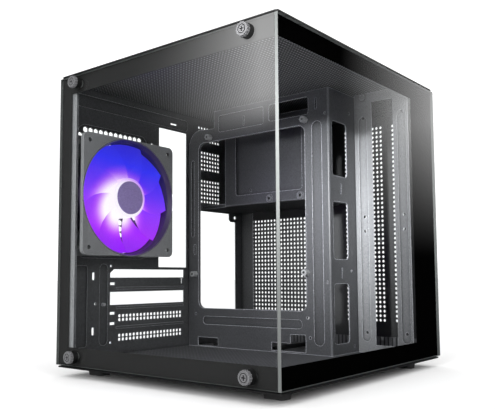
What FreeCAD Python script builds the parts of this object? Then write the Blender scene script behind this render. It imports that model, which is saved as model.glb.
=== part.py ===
import FreeCAD, Part
import math
import os

from FreeCAD import Vector

# Mini tower computer case, two chambers, glass front and left side.
# Frame: +Z up, front glass faces -Y, side glass faces -X,
# origin under the middle of the case and its outer screws, on the plane the feet stand on.
# All values are millimetres.

# overall sizes
case_w = 281.0            # side glass face to right panel face
case_d = 266.0            # front glass face to the rearmost edges
glass_h = 278.5           # both glass panes
glass_t = 3.0
pane_gap = 0.3            # between the butting edges of the two panes
sheet_t = 1.0             # folded chassis steel
plate_t = 1.2             # base plate and roof plate
plate_inset = 1.0         # plates stop this far inside the glass faces
glass_gap = 1.2           # open line between the glass edges and the plates
foot_h = 7.0
pad_h = 1.6               # pressed pads in the base plate over the feet
floor_rise = 4.0          # floor face above the lower glass edge
ceiling_drop = 3.0        # ceiling face below the upper glass edge
mount_gap = 1.0           # side glass to the flange behind it
tape_t = 1.0              # foam tape behind the front glass
rear_recess = 2.5         # rear panel outer face to the rearmost edges
bend_r = 0.8              # inner radius of every fold
fit_gap = 0.2             # between flat pieces that slide or lap

# chambers
tray_from_side = 178.0    # side glass face to the motherboard tray face
tray_length = 195.5       # rear panel to the tray's front fold
tray_top_gap = 1.5
rail_from_tray = 51.0     # tray face to the side rail plane
lip_depth = 3.5           # turned lip round the tray's large cut-out

# motherboard interface, standard board geometry
board_h_from_floor = 82.5     # lower mounting row above the floor
board_h_from_rear = 12.3      # rear mounting column to the rear panel
board_row = 157.48            # between the two main rows
board_low_row = 45.72         # extra row below
board_col_c = 22.86
board_col_f = 154.94
standoff_h = 6.5
standoff_d = 6.0
standoff_hole = 3.0
standoff_bore = 2.8         # thread in a standoff
standoff_seat = 3.8         # tray hole that a standoff is riveted into
io_w = 44.45
io_h = 158.75
io_above_row = 7.8            # lower edge of the opening above the lower row
io_from_tray = 3.2            # opening edge to the tray face
slot_pitch = 20.32
slot_w = 108.7
slot_h = 13.3
slot_from_tray = 7.6          # right end of the slots to the tray face
slot_count = 4
first_slot_below_row = 5.1    # first slot centre below the lower row

# rear fan
fan_size = 120.0
fan_t = 25.0
fan_hole_pitch = 105.0
fan_hole_d = 4.4
fan_from_side = 67.1
fan_below_ceiling = 110.9
fan_bore = 115.0
fan_flange_t = 4.0
fan_ring_wall = 2.0
fan_corner_r = 6.0
fan_flare = 2.1           # the bore is wider by this at the intake face
fan_flare_h = 5.5
fan_groove_w = 0.7
fan_groove_depth = 0.5
hub_d = 41.0
hub_h = 20.0
hub_wall = 1.5
hub_cap_d = 34.0
hub_cap_t = 0.8
blade_count = 9
blade_tip_gap = 1.0
blade_t = 1.6
blade_root_depth = 14.5   # along the axis, leading edge to trailing edge
blade_tip_depth = 8.5     # the blades flatten outward
blade_root_w = 19.5       # round the hub
blade_tip_w = 49.0        # round the tips: neighbours overlap seen from the front
blade_camber = 1.6
blade_sweep = 16.0        # degrees that the tips run ahead of the roots
blade_steps = 6           # flats along the chord of a blade
blade_rows = 6            # sections from root to tip
shaft_d = 3.0
shaft_play = 0.03         # radial, in the sleeve
sleeve_wall = 1.6
motor_base_t = 3.0

# vents
vent_pitch = 6.6
vent_hole = 5.5
vent_cols = 14
vent_rows = 20
vent_shift_x = -1.8       # vent field against the fan's centre
vent_shift_z = 5.8
cover_pitch = 5.0
cover_row_gap = 4.1
cover_hole = 3.3
cover_cols = 19
hole_sides = 6

# power supply bay, standard 150 x 86 face stood upright
psu_w = 86.0
psu_h = 150.0
psu_hole = 4.2
psu_above_floor = 10.5
psu_from_right = 10.7
psu_edge = 6.0

# glass screws
screw_from_end = 9.0      # glass screw centres to the upper and lower glass edges
screw_from_side = 28.0    # glass screw centres to the front and rear glass edges
glass_hole = 8.0
bush_d = 12.0
bush_h = 5.0
knob_d = 11.6
knob_h = 3.4
knob_flutes = 14
knob_bevel = 0.6
screw_d = 4.0
nut_d = 8.0
nut_h = 3.0

# screws of the right panel, driven from the rear
panel_knob_h = 4.4
panel_knob_d = 9.2
panel_screw_r = 1.6
panel_screw_in = 6.0

# feet
foot_w = 14.0
foot_l = 22.0
foot_r = 4.0
foot_draft = 0.8
foot_from_side = 31.0
foot_from_end = 26.5
pad_w = 32.0
pad_l = 36.0

# turned edges of the chassis
side_flange = 12.0
post_depth = 17.5
post_lip = 2.2
press_depth = 1.2         # depth of every pressed bead and field

# derived planes
screw_reach = bush_h + knob_h                       # glass screws outside the side glass
panel_reach = sheet_t + fit_gap + panel_knob_h - rear_recess
left = (screw_reach - case_w) / 2
right = left + case_w
front = -(case_d + panel_reach) / 2
rear = front + case_d
base_z = foot_h + pad_h
glass_z = base_z + plate_t + glass_gap
glass_top = glass_z + glass_h
roof_z = glass_top + glass_gap
floor_z = glass_z + floor_rise
ceiling_z = glass_top - ceiling_drop
flange_x = left + glass_t + mount_gap
flange_y = front + glass_t + tape_t
panel_x = right - sheet_t
wall_x = panel_x - sheet_t
rear_y = rear - rear_recess - sheet_t
tray_x = left + tray_from_side
tray_y = rear_y - tray_length
tray_top = ceiling_z - tray_top_gap
rail_x = tray_x + rail_from_tray
row_z = floor_z + board_h_from_floor
row_y = rear_y - board_h_from_rear
fan_x = left + fan_from_side
fan_z = ceiling_z - fan_below_ceiling
io_x1 = tray_x - io_from_tray
io_x0 = io_x1 - io_w
io_z0 = row_z + io_above_row
slot_x1 = tray_x - slot_from_tray
slot_x0 = slot_x1 - slot_w
psu_x1 = right - psu_from_right
psu_x0 = psu_x1 - psu_w
psu_z0 = floor_z + psu_above_floor
psu_z1 = psu_z0 + psu_h


def box(x0, y0, z0, x1, y1, z1):
    return Part.makeBox(x1 - x0, y1 - y0, z1 - z0, Vector(x0, y0, z0))


def rod(axis, centre, radius, length):
    # a cylinder that starts at centre and runs along the named axis
    way = {"x": Vector(1, 0, 0), "y": Vector(0, 1, 0), "z": Vector(0, 0, 1)}[axis]
    return Part.makeCylinder(radius, length, Vector(*centre), way)


def put(axis, u, v, w):
    # u, v lie in the plane whose normal is the named axis, w lies along it
    if axis == "x":
        return Vector(w, u, v)
    if axis == "y":
        return Vector(u, w, v)
    return Vector(u, v, w)


def along(axis, length):
    return put(axis, 0, 0, length)


def rounded_wire(axis, w, u0, v0, u1, v1, r):
    if r <= 0:
        corners = [(u0, v0), (u1, v0), (u1, v1), (u0, v1), (u0, v0)]
        return Part.makePolygon([put(axis, u, v, w) for u, v in corners])
    edges = []
    s = r * (1 - math.sqrt(0.5))
    marks = [((u0 + r, v0), (u1 - r, v0), (u1 - s, v0 + s), (u1, v0 + r)),
             ((u1, v0 + r), (u1, v1 - r), (u1 - s, v1 - s), (u1 - r, v1)),
             ((u1 - r, v1), (u0 + r, v1), (u0 + s, v1 - s), (u0, v1 - r)),
             ((u0, v1 - r), (u0, v0 + r), (u0 + s, v0 + s), (u0 + r, v0))]
    for a, b, m, c in marks:
        pa, pb, pm, pc = [put(axis, p[0], p[1], w) for p in (a, b, m, c)]
        if (pb - pa).Length > 1e-6:
            edges.append(Part.LineSegment(pa, pb).toShape())
        edges.append(Part.Arc(pb, pm, pc).toShape())
    return Part.Wire(edges)


def rounded_block(axis, u0, v0, u1, v1, r, w0, w1):
    wire = rounded_wire(axis, w0, u0, v0, u1, v1, r)
    return Part.Face(wire).extrude(along(axis, w1 - w0))


def slot_wire(w, u, v, width, length):
    # a slot with pointed ends that runs along the second axis
    a, b = width / 2, width / 4
    points = [(u - a, v + b), (u, v), (u + a, v + b), (u + a, v + length - b), (u, v + length),
              (u - a, v + length - b)]
    return Part.makePolygon([Vector(x, y, w) for x, y in points + points[:1]])


def ring_wire(axis, w, u, v, d, sides=0):
    # a round hole, or a regular polygon across which d is measured
    if not sides:
        return Part.Wire(Part.makeCircle(d / 2, put(axis, u, v, w), along(axis, 1)))
    r = d / 2 / math.cos(math.pi / sides)
    turn = [2 * math.pi * (k + 0.5) / sides for k in range(sides)]
    points = [put(axis, u + r * math.cos(a), v + r * math.sin(a), w) for a in turn]
    return Part.makePolygon(points + points[:1])


def plate(axis, outline, holes, w0, w1):
    # a flat sheet between w0 and w1 with the given openings
    face = Part.Face([outline] + list(holes), "Part::FaceMakerBullseye")
    return face.extrude(along(axis, w1 - w0))


def folded(axis, points, thickness, radius, w0, w1):
    # a strip folded along the points: the sheet lies to the left of the path
    # and every fold has the given inner radius
    count = len(points)
    ways = []
    for (ua, va), (ub, vb) in zip(points, points[1:]):
        size = math.hypot(ub - ua, vb - va)
        ways.append(((ub - ua) / size, (vb - va) / size))

    def side(offset):
        line = []
        for i, (u, v) in enumerate(points):
            if i == 0 or i == count - 1:
                du, dv = ways[min(i, count - 2)]
                line.append([(u - dv * offset, v + du * offset)])
                continue
            (au, av), (bu, bv) = ways[i - 1], ways[i]
            cross = au * bv - av * bu
            half = math.tan(math.acos(max(-1, min(1, au * bu + av * bv))) / 2)
            inner = cross > 0
            r = radius + (max(0, thickness) - offset if inner else offset - min(0, thickness))
            sign = 1 if inner else -1
            mu = u - av * offset - au * offset * half * sign
            mv = v + au * offset - av * offset * half * sign
            start = (mu - au * r * half, mv - av * r * half)
            end = (mu + bu * r * half, mv + bv * r * half)
            cu = start[0] - av * r * sign
            cv = start[1] + au * r * sign
            reach = math.hypot(mu - cu, mv - cv)
            mid = (cu + (mu - cu) / reach * r, cv + (mv - cv) / reach * r)
            line.append([start, mid, end])
        return line

    near, far = side(0.0), side(thickness)
    path = near + [list(reversed(p)) for p in reversed(far)]
    edges = []
    for a, b in zip(path, path[1:] + path[:1]):
        if len(a) == 3:
            edges.append(Part.Arc(*[put(axis, p[0], p[1], w0) for p in a]).toShape())
        edges.append(Part.makeLine(put(axis, *a[-1], w0), put(axis, *b[0], w0)))
    return Part.Face(Part.Wire(edges)).extrude(along(axis, w1 - w0))


def pressed(sheet, axis, rect, r, face, depth, floor=None):
    # presses a rounded field of a sheet towards +depth along the axis;
    # face is the sheet side that the press works from
    u0, v0, u1, v1 = rect
    step = math.copysign(sheet_t, depth)
    wall = rounded_block(axis, u0 - sheet_t, v0 - sheet_t, u1 + sheet_t, v1 + sheet_t,
                         r + sheet_t, face, face + depth + step)
    well = rounded_block(axis, u0, v0, u1, v1, r, face - step, face + depth)
    if floor is None:
        return sheet.fuse(wall).cut(well)
    through = rounded_block(axis, u0, v0, u1, v1, r, face - step, face + depth + 2 * step)
    return sheet.fuse(wall).cut(through).fuse(floor)


def mirrored(xs, ys):
    return [(x, y) for x in xs for y in ys]


foot_spots = mirrored((left + foot_from_side, right - foot_from_side),
                      (front + foot_from_end, rear - foot_from_end))
screw_spots = mirrored((front + screw_from_side, rear - screw_from_side),
                       (glass_z + screw_from_end, glass_top - screw_from_end))


# feet and base

foot_screw_l = 4.0
screw_r = 1.3             # foot screws


def make_feet():
    feet = []
    for x, y in foot_spots:
        wires = []
        for z, draft in ((0, foot_draft), (foot_h, 0)):
            wires.append(rounded_wire("z", z, x - foot_w / 2 + draft, y - foot_l / 2 + draft,
                                      x + foot_w / 2 - draft, y + foot_l / 2 - draft, foot_r))
        foot = Part.makeLoft(wires, True)
        feet.append(foot.cut(rod("z", (x, y, foot_h - foot_screw_l), screw_r, foot_screw_l + 1)))
    return Part.makeCompound(feet)


intake_x0, intake_x1 = left + 49.0, tray_x - 12.0
intake_y0, intake_y1 = front + 39.0, rear - 46.0
filter_rim = 9.0
plate_r = 2.0


def carrier_rim(z0, z1):
    # a turned rim on which the base plate and the roof plate sit against the chassis
    inset = 9.0
    y1 = rear_y - side_flange - 2.0
    rim = box(left + inset, front + inset, z0, right - inset, y1, z1)
    return rim.cut(box(left + inset + sheet_t, front + inset + sheet_t, z0 - 1,
                       right - inset - sheet_t, y1 - sheet_t, z1 + 1))


def make_base_plate():
    outline = rounded_wire("z", base_z, left + plate_inset, front + plate_inset,
                           right - plate_inset, rear - plate_inset, plate_r)
    window = rounded_wire("z", base_z, intake_x0, intake_y0, intake_x1, intake_y1, 4.0)
    body = plate("z", outline, [window], base_z, base_z + plate_t)
    lift = floor_z - sheet_t - base_z
    ring = rounded_block("z", intake_x0 - sheet_t, intake_y0 - sheet_t, intake_x1 + sheet_t,
                         intake_y1 + sheet_t, 4.0 + sheet_t, base_z, base_z + lift)
    ring = ring.cut(rounded_block("z", intake_x0, intake_y0, intake_x1, intake_y1, 4.0,
                                  base_z, base_z + lift))
    rim = carrier_rim(base_z + plate_t, floor_z - sheet_t)
    body = body.multiFuse([ring, rim] + [pad_block(x, y, 0.0) for x, y in foot_spots])
    wells = [pad_block(x, y, plate_t) for x, y in foot_spots]
    holes = [rod("z", (x, y, base_z - pad_h - 1), screw_r + 0.1, 5) for x, y in foot_spots]
    return body.cut(Part.makeCompound(wells)).cut(Part.makeCompound(holes)).removeSplitter()


def pad_block(x, y, lift):
    # a pressed pad with sloping sides; the well inside it is one sheet higher
    low, high = base_z - pad_h + lift, base_z + lift
    wires = []
    for z, grow in ((low, 0.0), (high, pad_h)):
        wires.append(rounded_wire("z", z, x - pad_w / 2 - grow + lift, y - pad_l / 2 - grow + lift,
                                  x + pad_w / 2 + grow - lift, y + pad_l / 2 + grow - lift, 6.0))
    return Part.makeLoft(wires, True, True)


def make_foot_screws():
    screws = []
    for x, y in foot_spots:
        top = base_z - pad_h + plate_t
        head = rod("z", (x, y, top), 3.0, 1.4)
        stem = rod("z", (x, y, foot_h - foot_screw_l), screw_r, top - foot_h + foot_screw_l)
        screws.append(head.fuse(stem))
    return Part.makeCompound(screws)


def make_bottom_filter():
    # a framed mesh that slides in the window under the floor
    gap = fit_gap
    z0, z1 = base_z + 0.4, base_z + 2.4
    frame = rounded_block("z", intake_x0 + gap, intake_y0 + gap, intake_x1 - gap, intake_y1 - gap,
                          3.6, z0, z1)
    bars_x, bars_y = 3, 4
    step_x = (intake_x1 - intake_x0 - filter_rim) / bars_x
    step_y = (intake_y1 - intake_y0 - filter_rim) / bars_y
    bar = 3.0
    wells = []
    for i in range(bars_x):
        for j in range(bars_y):
            x = intake_x0 + filter_rim / 2 + step_x * i
            y = intake_y0 + filter_rim / 2 + step_y * j
            wells.append(box(x + bar / 2, y + bar / 2, z0 + 0.5, x + step_x - bar / 2,
                             y + step_y - bar / 2, z1 + 1.0))
    return frame.cut(Part.makeCompound(wells))


# folded chassis

def make_floor_pan():
    z0 = floor_z - sheet_t
    top = floor_z + side_flange
    # left flange, floor and right flange are one strip folded twice
    strip = folded("y", [(wall_x + sheet_t, top), (wall_x + sheet_t, z0), (flange_x, z0), (flange_x, top)],
                   -sheet_t, bend_r, flange_y + sheet_t, rear_y - bend_r - fit_gap)
    front_flange = folded("x", [(rear_y - 40, z0), (flange_y, z0), (flange_y, top)],
                          -sheet_t, bend_r, flange_x + sheet_t + fit_gap, wall_x - fit_gap)
    pan = strip.fuse(front_flange)
    # the flanges stop short of the rear posts
    pan = pan.cut(box(flange_x - 1, rear_y - post_depth - fit_gap, floor_z,
                      flange_x + 3, rear_y + 1, top + 1))
    pan = pan.cut(box(wall_x - 3, rear_y - post_depth - fit_gap, floor_z,
                      panel_x + 1, rear_y + 1, top + 1))
    holes = [rod("x", (flange_x - 1, y, z), nut_d / 2 - 1.0, 4) for y, z in screw_spots if z < 100]
    return pan.cut(Part.makeCompound(holes)).removeSplitter()


def make_roof_pan():
    z1 = ceiling_z + sheet_t
    low = glass_top - 16.0
    strip = folded("y", [(flange_x, low), (flange_x, z1), (wall_x + sheet_t, z1), (wall_x + sheet_t, low)],
                   -sheet_t, bend_r, flange_y + sheet_t, rear_y - bend_r - fit_gap)
    front_flange = folded("x", [(flange_y, low), (flange_y, z1), (rear_y - 40, z1)],
                          -sheet_t, bend_r, flange_x + sheet_t + fit_gap, wall_x - fit_gap)
    pan = strip.fuse(front_flange)
    pan = pan.cut(box(flange_x - 1, rear_y - post_depth - fit_gap, low - 1,
                      flange_x + 3, rear_y + 1, ceiling_z))
    pan = pan.cut(box(wall_x - 3, rear_y - post_depth - fit_gap, low - 1,
                      panel_x + 1, rear_y + 1, ceiling_z))
    holes = [rod("x", (flange_x - 1, y, z), nut_d / 2 - 1.0, 4) for y, z in screw_spots if z > 100]
    holes.append(rounded_block("z", io_box_x0, io_box_y0, io_box_x1, io_box_y1, 3.0,
                               ceiling_z - 1, z1 + 1))
    return pan.cut(Part.makeCompound(holes)).removeSplitter()


# front panel input and output module, under the roof behind the front print
io_box_x0, io_box_x1 = right - 38.0, right - 16.0
io_box_y0, io_box_y1 = front + 14.0, front + 92.0
io_box_h = 24.0
io_wall = 1.6
ear_l = 6.0
ear_t = 2.0
io_x = (io_box_x0 + io_box_x1) / 2
power_d = 12.0
power_y = io_box_y0 + 10.0
reset_d = 6.0
reset_y = io_box_y0 + 22.5
jack_d = 6.4
jack_y = io_box_y0 + 31.5
usb_w = 14.5
usb_t = 7.0
usb_y = [io_box_y0 + 40.5, io_box_y0 + 52.5]
usbc_w = 9.4
usbc_t = 3.6
usbc_y = io_box_y0 + 64.5
port_gap = 0.25
board_t = 1.6
button_gap = 0.08         # radial running fit of both buttons
button_skirt = 0.9        # the skirt under the housing keeps each button in
button_rise = 1.0
power_travel = 0.8
reset_travel = 0.6
switch_h = 4.0
io_board_z = roof_z - 13.0


def port_cuts(z0, z1, grow):
    cuts = []
    for y, d in ((power_y, power_d + 2 * (button_gap - port_gap)),
                 (reset_y, reset_d + 2 * (button_gap - port_gap)), (jack_y, jack_d)):
        cuts.append(rod("z", (io_x, y, z0), d / 2 + grow, z1 - z0))
    for y in usb_y:
        cuts.append(box(io_x - usb_w / 2 - grow, y - usb_t / 2 - grow, z0,
                        io_x + usb_w / 2 + grow, y + usb_t / 2 + grow, z1))
    cuts.append(rounded_block("z", io_x - usbc_w / 2 - grow, usbc_y - usbc_t / 2 - grow,
                              io_x + usbc_w / 2 + grow, usbc_y + usbc_t / 2 + grow,
                              usbc_t / 2, z0, z1))
    return Part.makeCompound(cuts)


roof_vent_pitch = 14.0
roof_slot_w = 5.0
roof_slot_l = 34.0


def make_roof_plate():
    outline = rounded_wire("z", roof_z, left + plate_inset, front + plate_inset,
                           right - plate_inset, rear - plate_inset, plate_r)
    holes = []
    # rows of air slots over the main chamber
    x_span = tray_x - left - 60.0
    cols = int(x_span // roof_vent_pitch)
    rows = int((case_d - 60.0) // (roof_slot_l + 8.0))
    for i in range(cols):
        for j in range(rows):
            x = left + 30.0 + roof_vent_pitch * (i + 0.5)
            y = front + 34.0 + (roof_slot_l + 8.0) * j
            holes.append(slot_wire(roof_z, x, y, roof_slot_w, roof_slot_l))
    body = plate("z", outline, holes, roof_z, roof_z + plate_t)
    body = body.fuse(carrier_rim(ceiling_z + sheet_t, roof_z))
    return body.cut(port_cuts(roof_z - 1, roof_z + plate_t + 1, port_gap)).removeSplitter()


def make_io_housing():
    top = roof_z
    bottom = top - io_box_h
    wall = io_wall
    shell = rounded_block("z", io_box_x0 + fit_gap, io_box_y0 + fit_gap, io_box_x1 - fit_gap,
                          io_box_y1 - fit_gap, 3.0, bottom, top)
    inner = rounded_block("z", io_box_x0 + fit_gap + wall, io_box_y0 + fit_gap + wall,
                          io_box_x1 - fit_gap - wall, io_box_y1 - fit_gap - wall, 1.6,
                          bottom - 1, top - wall)
    shell = shell.cut(inner)
    # two ears rest under the roof pan
    for y0, y1 in ((io_box_y0 - ear_l, io_box_y0 + 1.0), (io_box_y1 - 1.0, io_box_y1 + ear_l)):
        shell = shell.fuse(box(io_x - 8, y0, ceiling_z - ear_t, io_x + 8, y1, ceiling_z))
    return shell.cut(port_cuts(top - 4, top + 1, port_gap)).removeSplitter()


def make_io_board():
    inset = 2 * fit_gap + io_wall
    return rounded_block("z", io_box_x0 + inset, io_box_y0 + inset, io_box_x1 - inset, io_box_y1 - inset,
                         io_wall, io_board_z - board_t, io_board_z)


def make_usb_a_sockets():
    shells = []
    wall = 0.5
    for y in usb_y:
        outer = box(io_x - usb_w / 2, y - usb_t / 2, io_board_z, io_x + usb_w / 2, y + usb_t / 2,
                    roof_z + plate_t)
        inner = box(io_x - usb_w / 2 + wall, y - usb_t / 2 + wall, io_board_z + 2,
                    io_x + usb_w / 2 - wall, y + usb_t / 2 - wall, roof_z + plate_t + 1)
        tongue = box(io_x - usb_w / 2 + 1.4, y + 0.2, io_board_z + 1, io_x + usb_w / 2 - 1.4,
                     y + 2.0, roof_z + plate_t - 0.8)
        shells.append(outer.cut(inner).fuse(tongue))
    return Part.makeCompound(shells)


def make_usb_c_socket():
    outer = rounded_block("z", io_x - usbc_w / 2, usbc_y - usbc_t / 2, io_x + usbc_w / 2,
                          usbc_y + usbc_t / 2, usbc_t / 2 - 0.01, io_board_z, roof_z + plate_t)
    inner = rounded_block("z", io_x - usbc_w / 2 + 0.4, usbc_y - usbc_t / 2 + 0.4,
                          io_x + usbc_w / 2 - 0.4, usbc_y + usbc_t / 2 - 0.4, usbc_t / 2 - 0.42,
                          io_board_z + 2, roof_z + plate_t + 1)
    tongue = box(io_x - 3.0, usbc_y - 0.35, io_board_z + 1, io_x + 3.0, usbc_y + 0.35,
                 roof_z + plate_t - 0.6)
    return outer.cut(inner).fuse(tongue)


def make_audio_jack():
    body = rod("z", (io_x, jack_y, io_board_z), jack_d / 2, roof_z + plate_t - io_board_z)
    return body.cut(rod("z", (io_x, jack_y, io_board_z + 2), 1.8, 30))


def make_button(y, d, travel):
    # a stepped cap: its skirt stays under the roof plate, its stem ends over the switch
    top = roof_z + plate_t + button_rise
    skirt_z = roof_z - 2 * io_wall
    cap = rod("z", (io_x, y, skirt_z), d / 2, top - skirt_z - 0.4)
    cap = cap.fuse(Part.makeCone(d / 2, d / 2 - 0.4, 0.4, Vector(io_x, y, top - 0.4)))
    skirt = rod("z", (io_x, y, skirt_z), d / 2 + button_skirt, io_wall - 0.05)
    stem_z = io_board_z + switch_h + travel + 0.1
    stem = rod("z", (io_x, y, stem_z), 1.6, skirt_z - stem_z)
    return cap.multiFuse([skirt, stem]).removeSplitter()


def make_power_button():
    return make_button(power_y, power_d, power_travel)


def make_reset_button():
    return make_button(reset_y, reset_d, reset_travel)


def make_button_switches():
    switches = []
    for y, travel in ((power_y, power_travel), (reset_y, reset_travel)):
        body = box(io_x - 3, y - 3, io_board_z, io_x + 3, y + 3, io_board_z + switch_h - 1.0)
        nub = rod("z", (io_x, y, io_board_z + switch_h - 1.0), 1.7, 1.0 - 0.1)
        switches.append(body.fuse(nub))
    return Part.makeCompound(switches)


# rear panel

vent_field_r = 10.0
vent_field_side = 3.6     # outer holes to the edge of the pressed field
slot_notch_w = 6.6
slot_notch_h = 2.6
bead_rise = 0.8


def fan_vent_field():
    # the pressed field round the fan vent
    half_u = vent_pitch * (vent_cols - 1) / 2 + vent_field_side
    half_v = vent_pitch * (vent_rows - 1) / 2 + vent_field_side + 1.4
    u, v = fan_x + vent_shift_x, fan_z + vent_shift_z
    return (u - half_u, v - half_v, u + half_u, v + half_v)


def fan_vent_holes(w):
    wires = []
    for j in range(vent_rows):
        for i in range(vent_cols):
            # the four corners of the field stay closed
            if i in (0, vent_cols - 1) and j in (0, vent_rows - 1):
                continue
            u = fan_x + vent_shift_x + vent_pitch * (i - (vent_cols - 1) / 2)
            v = fan_z + vent_shift_z + vent_pitch * (j - (vent_rows - 1) / 2)
            wires.append(ring_wire("y", w, u, v, vent_hole, hole_sides))
    return wires


def grid_holes(w, us, vs, d):
    return [ring_wire("y", w, u, v, d, hole_sides) for u in us for v in vs]


def slot_centre(index):
    return row_z - first_slot_below_row - slot_pitch * index


def slot_openings(w):
    wires = []
    # the first slot: open above, with its upper left corner cut off
    z = slot_centre(0)
    low, high = z + 1.4, z + 9.9
    points = [(slot_x0, low), (slot_x1, low), (slot_x1, high), (slot_x0 + 5, high), (slot_x0, high - 4)]
    wires.append(Part.makePolygon([put("y", u, v, w) for u, v in points + points[:1]]))
    # the second slot is open over its full height
    z = slot_centre(1)
    wires.append(rounded_wire("y", w, slot_x0, z - slot_h / 2, slot_x1, z + slot_h / 2, 0))
    # narrow notches for the lower tongues of the cards
    for z in (slot_centre(0) - 5.1, slot_centre(2) + 5.0, slot_centre(2) - 5.6):
        wires.append(rounded_wire("y", w, slot_x0, z - slot_notch_h / 2,
                                  slot_x0 + slot_notch_w, z + slot_notch_h / 2, 0))
    wires.append(rounded_wire("y", w, slot_x1 - 4.2, slot_centre(0) - 5.5, slot_x1 - 2.6,
                              slot_centre(0) + 0.3, 0))
    return wires


def cover_holes(w):
    # the two lower slots have perforated knock-out covers
    wires = []
    us = [slot_x1 - 5.5 - cover_pitch * k for k in range(cover_cols)]
    for index in (2, 3):
        z = slot_centre(index)
        wires += grid_holes(w, us, (z - cover_row_gap / 2, z + cover_row_gap / 2), cover_hole)
    return wires


def psu_opening(w):
    # a tall window with its corners stepped in round the screw holes
    u0, u1 = psu_x0 + 12.2, psu_x1 - 5.5
    v0, v1 = psu_z0 + 8.2, psu_z1 - 1.8
    a, b = 12.0, 10.0
    points = [(u0, v0 + b), (u0 + a, v0 + b), (u0 + a, v0), (u1 - a, v0), (u1 - a, v0 + b),
              (u1, v0 + b), (u1, v1 - b), (u1 - a + 3, v1 - b), (u1 - a, v1 - b + 3), (u1 - a, v1), (u0, v1)]
    return Part.makePolygon([put("y", u, v, w) for u, v in points + points[:1]])


def psu_screw_spots():
    # measured from the lower left corner of the upright 150 x 86 face
    return [(psu_x1 - psu_edge, psu_z0 + psu_edge), (psu_x1 - psu_edge, psu_z1 - psu_edge),
            (psu_x0 + 16.0, psu_z0 + psu_edge), (psu_x0 + psu_edge, psu_z0 + psu_edge + 114.0)]


def fan_hole_spots():
    h = fan_hole_pitch / 2
    return [(fan_x + sx * h, fan_z + sz * h) for sx in (-1, 1) for sz in (-1, 1)]


fan_slot_reach = 15.5     # the fan can be shifted up in its slots
panel_screw_low = floor_z + 22.0
panel_screw_high = ceiling_z - 22.0


def rear_panel_holes(w):
    wires = slot_openings(w) + cover_holes(w)
    wires.append(rounded_wire("y", w, io_x0, io_z0, io_x1, io_z0 + io_h, 0.5))
    wires.append(psu_opening(w))
    wires += [ring_wire("y", w, u, v, psu_hole) for u, v in psu_screw_spots()]
    for u, v in fan_hole_spots():
        wires.append(rounded_wire("y", w, u - fan_hole_d / 2, v - fan_hole_d / 2, u + fan_hole_d / 2,
                                  v + fan_slot_reach, fan_hole_d / 2 - 0.01))
    for v in (slot_centre(0) + 13.3, slot_centre(3) - 4.6):
        wires.append(ring_wire("y", w, slot_x0 + 1.1, v, 2.4))
    wires.append(ring_wire("y", w, slot_x0 - 18.5, slot_centre(1) - 5.0, 2.6))
    for v in (slot_centre(0) + 2.7, slot_centre(3) + 8.3):
        wires.append(rounded_wire("y", w, slot_x0 - 22.9, v - 4, slot_x0 - 19.9, v + 4, 1.49))
    for v in (panel_screw_low, panel_screw_high):
        wires.append(ring_wire("y", w, wall_x - panel_screw_in, v, 2 * panel_screw_r))
    return wires


def make_rear_panel():
    z0, z1 = floor_z - 2 * sheet_t, ceiling_z + 2 * sheet_t
    outline = rounded_wire("y", rear_y, flange_x + bend_r, z0, panel_x - bend_r, z1, 0)
    body = plate("y", outline, rear_panel_holes(rear_y), rear_y, rear_y + sheet_t)
    # the fan vent: a pressed field with its own holes
    face = rear_y + press_depth
    field = fan_vent_field()
    floor_plate = plate("y", rounded_wire("y", face, *field, vent_field_r),
                        fan_vent_holes(face), face, face + sheet_t)
    body = pressed(body, "y", field, vent_field_r, rear_y, press_depth, floor_plate)
    # shallow pressed fields that stiffen the sheet
    fields = [((slot_x0 - 46.3, slot_centre(3) - 6.7, slot_x0 - 29.3, slot_centre(0) + 13.3), 2.5),
              ((slot_x0 - 13.3, slot_centre(3) - 6.6, slot_x0 - 3.1, slot_centre(0) + 15.2), 4.9),
              ((flange_x + 13.0, ceiling_z - 19.5, io_x1 + 2.0, ceiling_z - 7.0), 4.0)]
    for rect, r in fields:
        body = pressed(body, "y", rect, r, rear_y, press_depth)
    body = body.cut(box(io_x1 - 25.0, rear_y, ceiling_z - 15.4, io_x1 - 15.0, rear_y + 4, ceiling_z - 13.6))
    x, z = clamp_screw_spot()
    body = body.cut(rod("y", (x, rear_y - 1, z), clamp_screw_r + clamp_screw_gap, 5))
    # beads between the slots
    for index in range(slot_count - 1):
        z = slot_centre(index) - slot_pitch / 2
        body = body.fuse(rounded_block("y", slot_x0 + 7.5, z - 1.0, slot_x1 - 1.0, z + 1.6, 1.2,
                                       rear_y - bead_rise, rear_y + sheet_t / 2))
    # side posts with a small turned lip, upper and lower turned edges
    y0 = rear_y - post_depth
    post = folded("z", [(flange_x + bend_r + 3, rear_y + sheet_t), (flange_x, rear_y + sheet_t),
                        (flange_x, y0), (flange_x + post_lip, y0)], sheet_t, bend_r,
                  floor_z, ceiling_z)
    other = folded("z", [(panel_x, y0), (panel_x, rear_y + sheet_t), (panel_x - bend_r - 3, rear_y + sheet_t)],
                   sheet_t, bend_r, floor_z, ceiling_z)
    low = folded("x", [(rear_y + sheet_t, floor_z + 6), (rear_y + sheet_t, z0), (rear_y - side_flange, z0)],
                 -sheet_t, bend_r, flange_x + 2, wall_x - 1)
    high = folded("x", [(rear_y - side_flange, z1), (rear_y + sheet_t, z1), (rear_y + sheet_t, ceiling_z - 6)],
                  -sheet_t, bend_r, flange_x + 2, wall_x - 1)
    body = body.cut(box(flange_x - 1, rear_y - 1, z0 - 1, panel_x + 1, rear_y + 3, z0 + bend_r + sheet_t))
    body = body.cut(box(flange_x - 1, rear_y - 1, z1 - bend_r - sheet_t, panel_x + 1, rear_y + 3, z1 + 1))
    return body.multiFuse([post, other, low, high]).removeSplitter()


# motherboard tray and the return wall in front of it, one folded sheet

def ty(back):
    # distance forward of the rear panel
    return rear_y - back


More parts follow.
